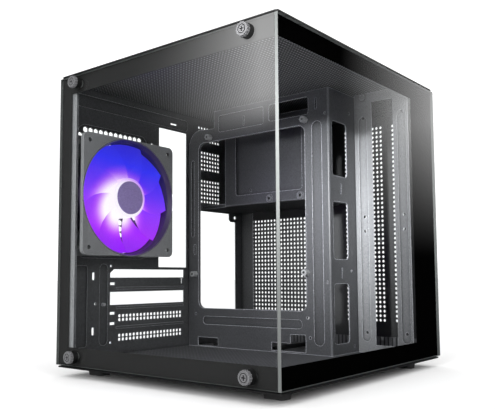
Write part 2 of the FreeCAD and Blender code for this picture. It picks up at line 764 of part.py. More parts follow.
band_h = 36.1             # ceiling to the upper edge of the large cut-out
cut_rear = 16.8           # rear panel to the rear edge of the cut-out
cut_front = 166.2
cut_low = 43.4            # floor to the lower edge of the cut-out
cut_r = 8.0
tab_r = 5.0               # half-round tabs under the front standoffs
rail_flange = 9.0         # side rail bracket's edge on the return wall


def tray_outline(w):
    # the upper rear corner is cut away in a large arc that leaves a cable pass
    low = floor_z
    edge = 3.0
    a = Vector(w, ty(edge), low)
    b = Vector(w, tray_y + bend_r + sheet_t, low)
    c = Vector(w, tray_y + bend_r + sheet_t, tray_top)
    d = Vector(w, ty(41.1), tray_top)
    e = Vector(w, ty(41.1), ceiling_z - 21.5)
    f = Vector(w, ty(21.0), ceiling_z - 20.8)
    g = Vector(w, ty(8.6), ceiling_z - 24.2)
    h = Vector(w, ty(edge), ceiling_z - 32.5)
    edges = [Part.makeLine(a, b), Part.makeLine(b, c), Part.makeLine(c, d), Part.makeLine(d, e),
             Part.makeLine(e, f), Part.Arc(f, g, h).toShape(), Part.makeLine(h, a)]
    return Part.Wire(edges)


def board_spots():
    # mounting holes of the small board, then the extra lower row
    front_y = row_y - board_col_f
    main = [(row_y, row_z), (front_y, row_z), (row_y - board_col_c, row_z + board_row),
            (front_y, row_z + board_row)]
    extra = [(row_y, row_z - board_low_row), (front_y, row_z - board_low_row)]
    return main, extra


def tray_holes(w):
    fz, cz = floor_z, ceiling_z
    wires = [rounded_wire("x", w, ty(cut_front), fz + cut_low, ty(cut_rear), cz - band_h, cut_r)]
    # cable window and slits in the upper band
    wires.append(rounded_wire("x", w, ty(171.0), cz - 25.5, ty(120.0), cz - 7.2, 3.0))
    wires.append(rounded_wire("x", w, ty(85.2), cz - 24.0, ty(83.4), cz - 12.6, 0.89))
    wires.append(rounded_wire("x", w, ty(181.2), cz - 22.1, ty(179.3), cz - 10.1, 0.94))
    # cable passes along the floor: one plain, one stepped
    wires.append(rounded_wire("x", w, ty(46.2), fz + 1.2, ty(16.0), fz + 10.4, 1.0))
    points = [(ty(164.5), fz + 1.8), (ty(121.2), fz + 1.8), (ty(121.2), fz + 10.0),
              (ty(145.4), fz + 10.0), (ty(145.4), fz + 19.2), (ty(164.5), fz + 19.2)]
    wires.append(Part.makePolygon([put("x", u, v, w) for u, v in points + points[:1]]))
    # tie slots and tapped holes
    wires.append(rounded_wire("x", w, ty(12.5), fz + 105.0, ty(9.5), fz + 117.0, 1.49))
    main, extra = board_spots()
    for y, z in extra:
        wires.append(ring_wire("x", w, y, z, standoff_hole))
    for back, up in ((169.9, 16.8), (192.1, 72.6)):
        wires.append(ring_wire("x", w, ty(back), fz + up, standoff_hole))
    wires.append(ring_wire("x", w, ty(191.5), cz - 27.7, standoff_hole))
    for y, z in main:
        wires.append(ring_wire("x", w, y, z, standoff_seat))
    return wires


def return_wall_windows():
    # three cable windows between the tray and the side rails, lower and upper edges
    fz, cz = floor_z, ceiling_z
    return [(fz + 11.0, fz + 71.0), (fz + 95.6, fz + 154.2), (cz - 91.0, cz - 34.7)]


def make_tray():
    sheet = plate("x", tray_outline(tray_x), tray_holes(tray_x), tray_x, tray_x + sheet_t)
    # the lip round the cut-out is turned back behind the tray
    rect = (ty(cut_front), floor_z + cut_low, ty(cut_rear), ceiling_z - band_h)
    rim = rounded_block("x", rect[0] - sheet_t, rect[1] - sheet_t, rect[2] + sheet_t, rect[3] + sheet_t,
                        cut_r + sheet_t, tray_x, tray_x + lip_depth)
    rim = rim.cut(rounded_block("x", *rect, cut_r, tray_x - 1, tray_x + lip_depth + 1))
    sheet = sheet.fuse(rim)
    # pressed beads, all pushed back from the board side
    fields = [((ty(112.4), ceiling_z - 26.8, ty(48.5), ceiling_z - 7.9), 2.0),
              ((ty(186.6), floor_z + 9.5, ty(175.0), ceiling_z - 34.4), 5.7),
              ((ty(160.3), floor_z + 25.3, ty(23.6), floor_z + 34.3), 4.4),
              ((ty(10.2), floor_z + 125.7, ty(5.6), floor_z + 215.9), 2.2)]
    slit = rounded_block("x", ty(85.2), ceiling_z - 24.0, ty(83.4), ceiling_z - 12.6, 0.89,
                         tray_x - 1, tray_x + 5)
    for rect, r in fields:
        sheet = pressed(sheet, "x", rect, r, tray_x, press_depth)
    sheet = sheet.cut(slit)
    # tabs that carry the front standoffs into the cut-out
    for y, z in board_spots()[0]:
        if y < ty(cut_front):
            sheet = sheet.cut(rod("x", (tray_x + sheet_t, y, z), tab_r, lip_depth))
            sheet = sheet.fuse(rod("x", (tray_x, y, z), tab_r, sheet_t))
            sheet = sheet.cut(rod("x", (tray_x - 1, y, z), standoff_seat / 2, 4))
    # the front fold and the return wall
    wall = folded("z", [(tray_x, tray_y + bend_r + sheet_t + 2), (tray_x, tray_y),
                        (rail_x + rail_flange, tray_y)], sheet_t, bend_r, floor_z, tray_top)
    cuts = []
    for low, high in return_wall_windows():
        cuts.append(rounded_block("y", tray_x + 5.8, low, rail_x - 16.5, high, 4.0, tray_y - 1, tray_y + 3))
    for z in (ceiling_z - 103.6, floor_z + 82.0):
        cuts.append(rounded_block("y", tray_x + 20.6, z - 5.2, tray_x + 22.4, z + 5.2, 0.89,
                                  tray_y - 1, tray_y + 3))
    for x, z in ((rail_x - 10.1, ceiling_z - 21.3), (rail_x - 10.7, floor_z + 84.0),
                 (rail_x - 7.1, floor_z + 6.5)):
        cuts.append(rod("y", (x, tray_y - 1, z), 1.4, 4))
    wall = wall.cut(Part.makeCompound(cuts))
    # the rear edge is turned along the rear panel, the lower edge along the floor
    rear_edge = folded("z", [(tray_x + 5.5, ty(fit_gap)), (tray_x, ty(fit_gap)), (tray_x, ty(5))],
                       sheet_t, bend_r, floor_z, ceiling_z - 34.0)
    foot_edge = folded("y", [(tray_x, floor_z + 4), (tray_x, floor_z), (tray_x + 10, floor_z)],
                       sheet_t, bend_r, ty(112.0), ty(52.0))
    return sheet.multiFuse([wall, rear_edge, foot_edge]).removeSplitter()


def make_standoffs():
    pieces = []
    for y, z in board_spots()[0]:
        turn = [math.pi / 3 * k for k in range(7)]
        r = standoff_d / 2 / math.cos(math.pi / 6)
        points = [Vector(tray_x - standoff_h, y + r * math.cos(a), z + r * math.sin(a)) for a in turn]
        body = Part.Face(Part.makePolygon(points)).extrude(Vector(standoff_h, 0, 0))
        stud = rod("x", (tray_x, y, z), standoff_seat / 2 - 0.05, sheet_t + 0.4)
        bore = rod("x", (tray_x - standoff_h - 1, y, z), standoff_bore / 2, standoff_h)
        pieces.append(body.fuse(stud).cut(bore))
    return Part.makeCompound(pieces)


# side rails beside the front of the main chamber

rail_w = 21.0
rail_front_w = 16.2
rail_slot_w = 3.4


def make_side_rail_bracket():
    y0 = flange_y + sheet_t + fit_gap
    y1 = tray_y
    low, high = floor_z, ceiling_z
    outline = rounded_wire("x", rail_x, y0, low, y1 - 3, high, 0)
    window = rounded_wire("x", rail_x, y0 + rail_front_w, floor_z + 8.0, y1 - rail_w, ceiling_z - 10.4, 0)
    holes = [window]
    columns = (y0 + 7.0, y1 - 10.5)
    for y in columns:
        for z in rail_hole_rows():
            holes.append(ring_wire("x", rail_x, y, z, rail_slot_w))
    body = plate("x", outline, holes, rail_x, rail_x + sheet_t)
    for y in columns:
        rect = (y - 4.6, floor_z + 11.6, y + 4.6, ceiling_z - 25.4)
        cut_holes = [rod("x", (rail_x - 2, y, z), rail_slot_w / 2, 8) for z in rail_hole_rows()]
        body = pressed(body, "x", rect, 4.5, rail_x, press_depth).cut(Part.makeCompound(cut_holes))
    # turned edge that is riveted to the return wall
    edge = folded("z", [(rail_x, y1 - 5), (rail_x, y1), (rail_x + rail_flange, y1)],
                  -sheet_t, bend_r, low, high)
    head = rod("x", (rail_x - 1.6, y1 - 11.1, ceiling_z - 4.1), 3.2, 1.6)
    return body.multiFuse([edge, head]).removeSplitter()


def rail_hole_rows():
    base = floor_z + 20.5
    return [base, base + fan_hole_pitch, base + fan_size, base + fan_size + fan_hole_pitch]


# drive bracket over the power supply, behind the tray's cut-out

drive_from_tray = 24.5


def make_drive_bracket():
    x = tray_x + drive_from_tray
    low = psu_z1 + 0.4
    high = ceiling_z - 12.0
    y0, y1 = ty(159.0), ty(37.0)
    sheet = folded("y", [(x, high), (x, low), (wall_x - fit_gap, low)], sheet_t, bend_r, y0, y1)
    shelf = box(x + 2, y1 - 1, low, wall_x - fit_gap, ty(1.2), low + sheet_t)
    edge = box(x + 2, y1 - 1, low, x + 3, ty(1.2), low + 4.0)
    top = folded("y", [(wall_x - fit_gap, high), (x, high), (x, high - 6)], sheet_t, bend_r, y0 + 8, y1 - 8)
    body = sheet.multiFuse([shelf, edge, top])
    body = pressed(body, "x", (ty(145.7), low + 12.0, ty(53.1), high - 8.0), 3.0, x, 3.0)
    # two raised screw bosses in the lower edge
    for y in drive_boss_ys():
        boss = Part.makeCone(4.6, 3.4, 1.6, Vector(x + 0.2, y, low + 5.0), Vector(-1, 0, 0))
        body = body.fuse(boss).cut(rod("x", (x - 3, y, low + 5.0), 1.9, 8))
    holes = [rod("x", (x - 1, ty(72.7), low + 17.0), 1.6, 8)]
    for y in (ty(30.0), ty(100.0), ty(150.0)):
        holes.append(rod("z", (wall_x - 12, y, low - 2), 2.2, 5))
    return body.cut(Part.makeCompound(holes)).removeSplitter()


def drive_boss_ys():
    return (ty(101.9), ty(143.4))


def make_psu_pads():
    # two foam strips on the floor that the power supply lies on
    strips = []
    for y in (ty(30.0), ty(110.0)):
        strips.append(box(psu_x0 + 4, y - 8, floor_z, psu_x1 - 4, y, floor_z + 3.0))
    return Part.makeCompound(strips)


# glass panes, their screws and tapes

def make_side_glass():
    body = box(left, front + glass_t + pane_gap, glass_z, left + glass_t, rear, glass_top)
    holes = [rod("x", (left - 1, y, z), glass_hole / 2, glass_t + 2) for y, z in screw_spots]
    return body.cut(Part.makeCompound(holes))


def make_front_glass():
    return box(left, front, glass_z, right, front + glass_t, glass_top)


def make_front_tapes():
    y0 = front + glass_t
    low = box(flange_x + 4, y0, glass_z + 5, panel_x - 4, y0 + tape_t, glass_z + 13)
    high = box(flange_x + 4, y0, glass_top - 13, panel_x - 4, y0 + tape_t, glass_top - 5)
    return Part.makeCompound([low, high])


def make_screw_bushes():
    # a collar outside the glass, a neck through its hole and a washer behind it
    pieces = []
    for y, z in screw_spots:
        collar = rod("x", (left - bush_h, y, z), bush_d / 2, bush_h)
        neck = rod("x", (left - 0.5, y, z), glass_hole / 2 - 0.1, glass_t + 1.0)
        washer = rod("x", (left + glass_t, y, z), bush_d / 2, mount_gap)
        bore = rod("x", (left - bush_h - 1, y, z), screw_d / 2 + 0.1, bush_h + glass_t + 4)
        pieces.append(collar.multiFuse([neck, washer]).cut(bore))
    return Part.makeCompound(pieces)


def knob_profile(y, z, x):
    # a fluted outline: peaks and valleys in turn
    points = []
    for k in range(2 * knob_flutes):
        r = knob_d / 2 if k % 2 == 0 else knob_d / 2 - 0.55
        a = math.pi * k / knob_flutes
        points.append(Vector(x, y + r * math.cos(a), z + r * math.sin(a)))
    return Part.makePolygon(points + points[:1])


def phillips(axis, centre, size, depth):
    # a crossed recess that narrows with depth
    x, y, z = centre
    bars = []
    for wide, tall in ((size, size / 4), (size / 4, size)):
        wires = []
        for w, k in ((0.0, 1.0), (depth, 0.55)):
            a, b = wide / 2 * k, tall / 2 * k
            if axis == "x":
                wires.append(rounded_wire("x", x + w, y - a, z - b, y + a, z + b, 0))
            else:
                wires.append(rounded_wire("y", y - w, x - a, z - b, x + a, z + b, 0))
        bars.append(Part.makeLoft(wires, True, True))
    return bars[0].fuse(bars[1])


def make_glass_thumb_screws():
    pieces = []
    for y, z in screw_spots:
        x = left - bush_h - knob_h
        head = Part.Face(knob_profile(y, z, x + knob_bevel)).extrude(Vector(knob_h - knob_bevel, 0, 0))
        rim = rod("x", (x, y, z), knob_d / 2 - knob_bevel, knob_bevel)
        dish = rod("x", (x - 0.1, y, z), knob_d / 2 - 2.0, 0.9)
        stud = rod("x", (x - 0.1, y, z), 2.9, 0.9)
        head = head.fuse(rim).cut(dish.cut(stud)).cut(phillips("x", (x - 0.01, y, z), 4.4, 1.6))
        stem = rod("x", (x + knob_h - 0.5, y, z), screw_d / 2, bush_h + glass_t + mount_gap + 4.5)
        pieces.append(head.fuse(stem))
    return Part.makeCompound(pieces)


def make_glass_screw_nuts():
    # pressed nuts in the flanges behind the side glass
    pieces = []
    for y, z in screw_spots:
        x = flange_x + sheet_t
        body = Part.Face(ring_wire("x", x, y, z, nut_d, hole_sides)).extrude(Vector(nut_h, 0, 0))
        spigot = rod("x", (flange_x, y, z), nut_d / 2 - 1.0, sheet_t)
        bore = rod("x", (flange_x - 1, y, z), screw_d / 2, nut_h + 4)
        pieces.append(body.fuse(spigot).cut(bore))
    return Part.makeCompound(pieces)


# right panel and the screws that hold it

panel_open = 0.64         # width of an opening against its pitch


def panel_fields():
    # the three vent fields: lower and upper corner, openings across and up
    low, high = floor_z + 27.5, ceiling_z - 24.0
    return [((front + 118.7, floor_z + 21.7), (rear - 17.3, floor_z + 151.7), 8, 8),
            ((front + 59.6, low), (front + 109.6, high), 3, 12),
            ((front + 9.9, low), (front + 49.9, high), 2, 12)]


def panel_openings():
    # a plain grid, as open as the fine round holes of the real sheet
    cuts = []
    for (y0, z0), (y1, z1), across, up in panel_fields():
        step_y, step_z = (y1 - y0) / across, (z1 - z0) / up
        half_y, half_z = step_y * panel_open / 2, step_z * panel_open / 2
        for i in range(across):
            for j in range(up):
                y, z = y0 + step_y * (i + 0.5), z0 + step_z * (j + 0.5)
                cuts.append(box(panel_x - 1, y - half_y, z - half_z, right + 1, y + half_y, z + half_z))
    return Part.makeCompound(cuts)


def make_right_panel():
    y_front = front + glass_t + pane_gap
    y_rear = rear_y + sheet_t + fit_gap
    low, high = glass_z + 0.5, glass_top - 0.5
    path = [(panel_x - 10.0, y_rear + sheet_t), (right, y_rear + sheet_t), (right, y_front),
            (panel_x - 0.9, y_front)]
    body = folded("z", path, -sheet_t, bend_r, low, high)
    for z in (low, high - sheet_t):
        body = body.fuse(box(panel_x - 4.0, y_front + 8, z, panel_x + sheet_t / 2,
                             rear_y - side_flange - 2.0, z + sheet_t))
    holes = [rod("y", (wall_x - panel_screw_in, y_rear - 1, z), panel_screw_r + 0.2, 4)
             for z in (panel_screw_low, panel_screw_high)]
    return body.cut(Part.makeCompound(holes)).cut(panel_openings()).removeSplitter()


def make_panel_thumb_screws():
    pieces = []
    y = rear_y + 2 * sheet_t + fit_gap
    for z in (panel_screw_low, panel_screw_high):
        x = wall_x - panel_screw_in
        head = rod("y", (x, y, z), panel_knob_d / 2, panel_knob_h)
        cross = phillips("y", (x, y + panel_knob_h + 0.01, z), 4.0, 1.6)
        stem = rod("y", (x, y - 6.0, z), panel_screw_r, 6.5)
        pieces.append(head.cut(cross).fuse(stem))
    return Part.makeCompound(pieces)


clamp_screw_r = 1.6
clamp_screw_gap = 0.1


def make_slot_clamp():
    # an angle outside the rear panel that holds the card brackets
    x0, x1 = slot_x0 - 16.5, slot_x0 + 2.0
    z0, z1 = clamp_span()
    y = rear_y + press_depth + sheet_t
    body = box(x0, y, z0, x1, y + sheet_t, z1)
    body = body.fuse(box(x0, rear_y + sheet_t, z0, x0 + sheet_t, y + sheet_t, z1))
    x, z = clamp_screw_spot()
    return body.cut(rod("y", (x, y - 1, z), clamp_screw_r + clamp_screw_gap, 4)).removeSplitter()


def clamp_span():
    return (slot_centre(3) - 4.0, slot_centre(0) + 12.6)


def clamp_screw_spot():
    z0, z1 = clamp_span()
    return (slot_x0 - 8.2, (z0 + z1) / 2)


def make_slot_clamp_screw():
    x, z = clamp_screw_spot()
    y = rear_y + press_depth + 2 * sheet_t
    head = rod("y", (x, y, z), 4.0, 2.2)
    stem = rod("y", (x, y - 5.0, z), clamp_screw_r, 5.5)
    return head.cut(phillips("y", (x, y + 2.21, z), 3.6, 1.2)).fuse(stem)


# rear fan: the air leaves to the rear, the struts are on the rear side

fan_y0 = rear_y - fan_t           # intake face
hub_y0 = fan_y0 + 1.0             # front face of the rotor's cup
base_y = rear_y - motor_base_t    # front face of the motor base
strut_w = 4.0
strut_count = 4
boss_r = 4.6                      # tube on the motor base round the sleeve
magnet_t = 1.6
stator_poles = 4
fan_screw_r = 2.1
fan_screw_head_r = 3.1


def fan_disc(radius, y0, y1):
    return rod("y", (fan_x, y0, fan_z), radius, y1 - y0)


def make_fan_frame():
    h = fan_size / 2
    sides = (fan_x - h, fan_z - h, fan_x + h, fan_z + h)
    body = fan_disc(fan_bore / 2 + fan_ring_wall, fan_y0, rear_y)
    for y in (fan_y0, rear_y - fan_flange_t):
        body = body.fuse(rounded_block("y", *sides, fan_corner_r, y, y + fan_flange_t))
    # the bore flares toward the intake, and a fine groove marks it off on the corners
    flare = Part.makeCone(fan_bore / 2 + fan_flare, fan_bore / 2, fan_flare_h, Vector(fan_x, fan_y0, fan_z),
                          Vector(0, 1, 0))
    body = body.cut(fan_disc(fan_bore / 2, fan_y0 - 1, rear_y + 1)).cut(flare)
    groove = fan_disc(h + fan_groove_w, fan_y0 - 1, fan_y0 + fan_groove_depth).cut(
        fan_disc(h, fan_y0 - 2, rear_y))
    holes = [rod("y", (x, fan_y0 - 1, z), fan_hole_d / 2, fan_t + 2) for x, z in fan_hole_spots()]
    body = body.cut(Part.makeCompound(holes + [groove]))
    # motor base with its struts and the tube that holds the sleeve
    base = fan_disc(hub_d / 2 + 1.0, base_y, rear_y)
    arms = []
    for k in range(strut_count):
        arm = box(fan_x + hub_d / 2 - 2, base_y, fan_z - strut_w / 2, fan_x + fan_bore / 2 + 1, rear_y,
                  fan_z + strut_w / 2)
        arm.rotate(Vector(fan_x, 0, fan_z), Vector(0, 1, 0), 360 * (k + 0.5) / strut_count)
        arms.append(arm)
    tube = fan_disc(boss_r, base_y - 8.0, rear_y)
    body = body.multiFuse([base, tube] + arms)
    return body.cut(fan_disc(sleeve_r(), base_y - 9.0, rear_y - 1.5)).removeSplitter()


def sleeve_r():
    return shaft_d / 2 + shaft_play + sleeve_wall


def make_fan_sleeve():
    tube = fan_disc(sleeve_r(), hub_y0 + hub_wall + 2.6, rear_y - 1.5)
    return tube.cut(fan_disc(shaft_d / 2 + shaft_play, hub_y0, rear_y))


def make_fan_shaft():
    return fan_disc(shaft_d / 2, hub_y0 + 0.8, rear_y - 1.9)


def blade_section(radius, width, depth, sweep):
    # a thin bent plate wrapped round the hub's axis at one radius: width along the turn,
    # depth along the axis, one line of points on each face
    middle = hub_y0 + hub_h / 2
    lean = math.atan2(depth, width)
    faces = []
    for side in (0.5, -0.5):
        line = []
        for k in range(blade_steps + 1):
            t = k / blade_steps - 0.5
            out = blade_camber * (1 - 4 * t * t) + side * blade_t * (1 - 3.2 * t * t)
            turn = sweep + (width * t - out * math.sin(lean)) / radius
            line.append(Vector(fan_x + radius * math.cos(turn), middle + depth * t + out * math.cos(lean),
                               fan_z + radius * math.sin(turn)))
        faces.append(line)
    return faces[0] + list(reversed(faces[1]))


def triangle(a, b, c):
    return Part.Face(Part.makePolygon([a, b, c, a]))


def make_blade():
    # flat triangles between the sections, the first and last section closed in strips
    root, tip = hub_d / 2 - 0.8, fan_bore / 2 - blade_tip_gap
    rings = []
    for k in range(blade_rows):
        t = k / (blade_rows - 1)
        width = blade_root_w + (blade_tip_w - blade_root_w) * t
        depth = blade_root_depth + (blade_tip_depth - blade_root_depth) * t
        rings.append(blade_section(root + (tip - root) * t, width, depth, math.radians(blade_sweep * t * t)))
    count = len(rings[0])
    skin = []
    for a, b in zip(rings, rings[1:]):
        for k in range(count):
            n = (k + 1) % count
            skin += [triangle(a[k], a[n], b[n]), triangle(a[k], b[n], b[k])]
    for ring in (rings[0], rings[-1]):
        for k in range(blade_steps):
            a, b, c, d = ring[k], ring[k + 1], ring[count - 2 - k], ring[count - 1 - k]
            skin += [triangle(a, b, c), triangle(a, c, d)]
    blade = Part.Solid(Part.Shell(skin))
    if blade.Volume < 0:
        blade.reverse()
    return blade


def make_fan_rotor():
    cup = fan_disc(hub_d / 2, hub_y0, hub_y0 + hub_h)
    rim = [e for e in cup.Edges if abs(e.BoundBox.YMax - hub_y0) < 1e-6 and e.BoundBox.XLength > 1]
    cup = cup.makeFillet(1.2, rim)
    blade = make_blade()
    blades = []
    for k in range(blade_count):
        one = blade.copy()
        one.rotate(Vector(fan_x, 0, fan_z), Vector(0, 1, 0), 360 * k / blade_count)
        blades.append(one)
    body = cup.multiFuse(blades)
    # the cup is hollow and open to the rear, with a boss for the shaft
    well = fan_disc(hub_d / 2 - hub_wall, hub_y0 + hub_wall, hub_y0 + hub_h + 1)
    well = well.cut(fan_disc(boss_r, hub_y0, hub_y0 + hub_wall + 2.0))
    seat = fan_disc(hub_cap_d / 2 + 0.1, hub_y0 - 1, hub_y0 + hub_cap_t / 2)
    bore = fan_disc(shaft_d / 2, hub_y0 + 0.8, hub_y0 + hub_h)
    return body.cut(Part.makeCompound([seat, bore])).cut(well).removeSplitter()


def make_fan_hub_cap():
    return fan_disc(hub_cap_d / 2, hub_y0 - hub_cap_t / 2, hub_y0 + hub_cap_t / 2)


def make_fan_magnet():
    r = hub_d / 2 - hub_wall
    ring = fan_disc(r, hub_y0 + 6.0, hub_y0 + hub_h - 1.0)
    return ring.cut(fan_disc(r - magnet_t, hub_y0, rear_y))


def make_fan_stator():
    # pole shoes on a core that sits on the motor base's tube
    r = hub_d / 2 - hub_wall - magnet_t - 0.6
    y0, y1 = base_y - 10.0, base_y - 3.0
    core = fan_disc(boss_r + 2.0, y0, y1)
    poles = []
    for k in range(stator_poles):
        arm = box(fan_x, y0, fan_z - 2.5, fan_x + r - 1, y1, fan_z + 2.5)
        shoe = fan_disc(r, y0, y1).cut(fan_disc(r - 2.5, y0 - 1, y1 + 1))
        wedge = box(fan_x, y0 - 1, fan_z - 6.5, fan_x + r + 1, y1 + 1, fan_z + 6.5)
        piece = arm.fuse(shoe.common(wedge))
        piece.rotate(Vector(fan_x, 0, fan_z), Vector(0, 1, 0), 360 * k / stator_poles)
        poles.append(piece)
    body = core.multiFuse(poles)
    return body.cut(fan_disc(boss_r, base_y - 8.0, y1 + 1)).cut(fan_disc(sleeve_r(), y0 - 1, y1)).removeSplitter()


def make_fan_board():
    ring = fan_disc(hub_d / 2 - 3.5, base_y - 1.2, base_y)
    return ring.cut(fan_disc(boss_r, base_y - 2, base_y + 1))


def make_fan_screws():
    pieces = []
    for x, z in fan_hole_spots():
        y = rear_y + sheet_t
        head = Part.makeCone(fan_screw_head_r, fan_screw_head_r - 0.5, 1.9, Vector(x, y, z), Vector(0, 1, 0))
        stem = rod("y", (x, y - 9.0, z), fan_screw_r, 9.2)
        pieces.append(head.cut(phillips("y", (x, y + 1.91, z), 3.6, 1.2)).fuse(stem))
    return Part.makeCompound(pieces)


# every piece by its name

pieces = {
    "feet": make_feet,
    "foot_screws": make_foot_screws,
    "base_plate": make_base_plate,
    "bottom_filter": make_bottom_filter,
    "floor_pan": make_floor_pan,
    "roof_pan": make_roof_pan,
    "roof_plate": make_roof_plate,
    "rear_panel": make_rear_panel,
    "motherboard_tray": make_tray,
    "standoffs": make_standoffs,
    "side_rail_bracket": make_side_rail_bracket,
    "drive_bracket": make_drive_bracket,
    "psu_pads": make_psu_pads,
    "side_glass": make_side_glass,
    "front_glass": make_front_glass,
    "front_glass_tapes": make_front_tapes,
    "glass_bushings": make_screw_bushes,
    "glass_thumb_screws": make_glass_thumb_screws,
    "glass_screw_nuts": make_glass_screw_nuts,
    "right_panel": make_right_panel,
    "right_panel_screws": make_panel_thumb_screws,
    "slot_clamp": make_slot_clamp,
    "slot_clamp_screw": make_slot_clamp_screw,
    "io_housing": make_io_housing,
    "io_board": make_io_board,
    "usb_a_sockets": make_usb_a_sockets,
    "usb_c_socket": make_usb_c_socket,
    "audio_jack": make_audio_jack,
    "button_switches": make_button_switches,
    "power_button": make_power_button,
    "reset_button": make_reset_button,
    "fan_frame": make_fan_frame,
    "fan_rotor": make_fan_rotor,
    "fan_hub_cap": make_fan_hub_cap,
    "fan_shaft": make_fan_shaft,
    "fan_magnet": make_fan_magnet,
    "fan_sleeve": make_fan_sleeve,
    "fan_stator": make_fan_stator,
    "fan_board": make_fan_board,
    "fan_screws": make_fan_screws,
}

os.makedirs("parts", exist_ok=True)
for name, maker in pieces.items():
    maker().exportStep("parts/" + name + ".step")
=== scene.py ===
import math
import bmesh
import bpy
import numpy as np
from mathutils import Matrix, Vector


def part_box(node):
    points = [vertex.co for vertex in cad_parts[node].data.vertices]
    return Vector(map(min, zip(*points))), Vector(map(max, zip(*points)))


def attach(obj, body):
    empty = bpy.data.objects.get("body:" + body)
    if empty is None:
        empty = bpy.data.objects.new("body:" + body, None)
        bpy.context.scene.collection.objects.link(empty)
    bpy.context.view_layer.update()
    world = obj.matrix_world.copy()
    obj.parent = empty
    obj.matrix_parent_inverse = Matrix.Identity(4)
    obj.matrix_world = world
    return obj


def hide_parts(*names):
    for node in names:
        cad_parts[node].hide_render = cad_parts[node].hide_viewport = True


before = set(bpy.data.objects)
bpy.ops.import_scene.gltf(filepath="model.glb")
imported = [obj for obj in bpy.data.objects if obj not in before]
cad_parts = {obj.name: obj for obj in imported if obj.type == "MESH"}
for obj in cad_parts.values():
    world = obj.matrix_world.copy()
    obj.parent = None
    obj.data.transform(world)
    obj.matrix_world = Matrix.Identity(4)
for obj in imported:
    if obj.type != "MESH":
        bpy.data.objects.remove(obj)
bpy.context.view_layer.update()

# Mini tower computer case: two chambers, glass front and left side, lit rear fan.
# All lengths are metres. The front glass faces -Y, the side glass -X, and the feet stand at Z 0.
mm = 0.001


# feet, base plate and its filter
# Block feet of moulded rubber are screwed under a pressed and powder coated steel plate.
# A framed net against dust rests in a window above the plate.

def colour(code):
    """Linear colour of an sRGB hex code: each channel is code / 255, divided by 12.92 where it
    is at most 0.04045, else ((c + 0.055) / 1.055) to the power 2.4."""
    parts = [int(code[i:i + 2], 16) / 255 for i in (0, 2, 4)]
    linear = [c / 12.92 if c <= 0.04045 else ((c + 0.055) / 1.055) ** 2.4 for c in parts]
    return (*linear, 1.0)


def add(tree, kind, inputs=None, **settings):
    """Adds a shader node. Inputs are keyed by socket name or number: a node is linked by its
    first output, a socket by itself, and anything else is set as the value."""
    node = tree.nodes.new("ShaderNode" + kind)
    for name, value in settings.items():
        setattr(node, name, value)
    for key, value in (inputs or {}).items():
        if isinstance(value, bpy.types.Node):
            value = value.outputs[0]
        if isinstance(value, bpy.types.NodeSocket):
            tree.links.new(value, node.inputs[key])
        else:
            node.inputs[key].default_value = value
    return node


def blank(name):
    """An empty material and its node tree."""
    material = bpy.data.materials.new(name)
    material.use_nodes = True
    material.node_tree.nodes.clear()
    return material, material.node_tree


def grain(tree, size, low, high):
    """Noise on Object coordinates, one cell to each size, stretched to run from low to high."""
    place = add(tree, "TexCoord").outputs["Object"]
    noise = add(tree, "TexNoise", {"Vector": place, "Scale": 1 / size, "Detail": 2.0})
    return add(tree, "MapRange", {"Value": noise, "From Min": 0.3, "From Max": 0.7,
                                  "To Min": low, "To Max": high})


def textured(name, code, rough, grit=1.429 * mm, vary=0.12, bump=0.06 * mm, metal=0.0,
             cavity=0.0, rim=0.0, specular=0.5):
    """A finish whose colour and height vary with a fine noise, by vary and by bump. With cavity,
    hollows within a few millimetres darken by that share as painted shade. With rim, open edges
    are paler as a painted highlight: where the rounded normal n' leaves the flat n, by rim * 6 (1 - n . n')."""
    material, tree = blank(name)
    tone = grain(tree, grit, 1 - vary, 1 + vary)
    # painted shade: ambient occlusion darkens the colour in hollows
    if cavity:
        hollow = add(tree, "AmbientOcclusion", {"Distance": 4 * mm}, samples=6, only_local=True)
        openness = hollow.outputs["AO"]
        shade = add(tree, "MapRange", {"Value": openness, "From Min": 0.45, "From Max": 1.0,
                                       "To Min": 1 - cavity, "To Max": 1.0})
        tone = add(tree, "Math", {0: tone, 1: shade}, operation="MULTIPLY")
    # painted highlight: open edges are made paler where the rounded normal turns away
    if cavity and rim:
        rounded = add(tree, "Bevel", {"Radius": 0.9 * mm}, samples=6)
        flat = add(tree, "NewGeometry").outputs["True Normal"]
        facing = add(tree, "VectorMath", {0: rounded, 1: flat}, operation="DOT_PRODUCT").outputs["Value"]
        turned = add(tree, "Math", {0: 1.0, 1: facing}, operation="SUBTRACT")
        edge_highlight = add(tree, "Math", {0: turned, 1: 6.0}, operation="MULTIPLY", use_clamp=True)
        clear = add(tree, "MapRange", {"Value": openness, "From Min": 0.5, "From Max": 0.85})
        open_edge_highlight = add(tree, "Math", {0: edge_highlight, 1: clear}, operation="MULTIPLY")
        gain = add(tree, "Math", {0: open_edge_highlight, 1: rim, 2: 1.0}, operation="MULTIPLY_ADD")
        tone = add(tree, "Math", {0: tone, 1: gain}, operation="MULTIPLY")
    base = add(tree, "HueSaturation", {"Color": colour(code), "Value": tone})
    normal = add(tree, "Bump", {"Height": grain(tree, grit / 1.7, 0.0, 1.0), "Distance": bump})
    surface = add(tree, "BsdfPrincipled", {"Base Color": base, "Roughness": rough, "Metallic": metal,
                                           "Normal": normal, "Specular IOR Level": specular})
    add(tree, "OutputMaterial", {"Surface": surface})
    return material


def finish_nodes(material, *names):
    """Gives a material to whole pieces."""
    for name in names:
        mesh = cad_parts[name].data
        mesh.materials.clear()
        mesh.materials.append(material)


# moulded rubber: dark and dull, so the feet vanish in their shadow
rubber = textured("moulded_rubber", "3c3c3d", 0.7, grit=0.714 * mm)
# powder coat: near black, with a fine grit that breaks up reflections
base_coat = textured("base_powder_coat", "1c1c1d", 0.5)
# woven nylon net: dark, and uneven from thread to thread
filter_net = textured("filter_net", "17171a", 0.8, grit=0.385 * mm, vary=0.3)
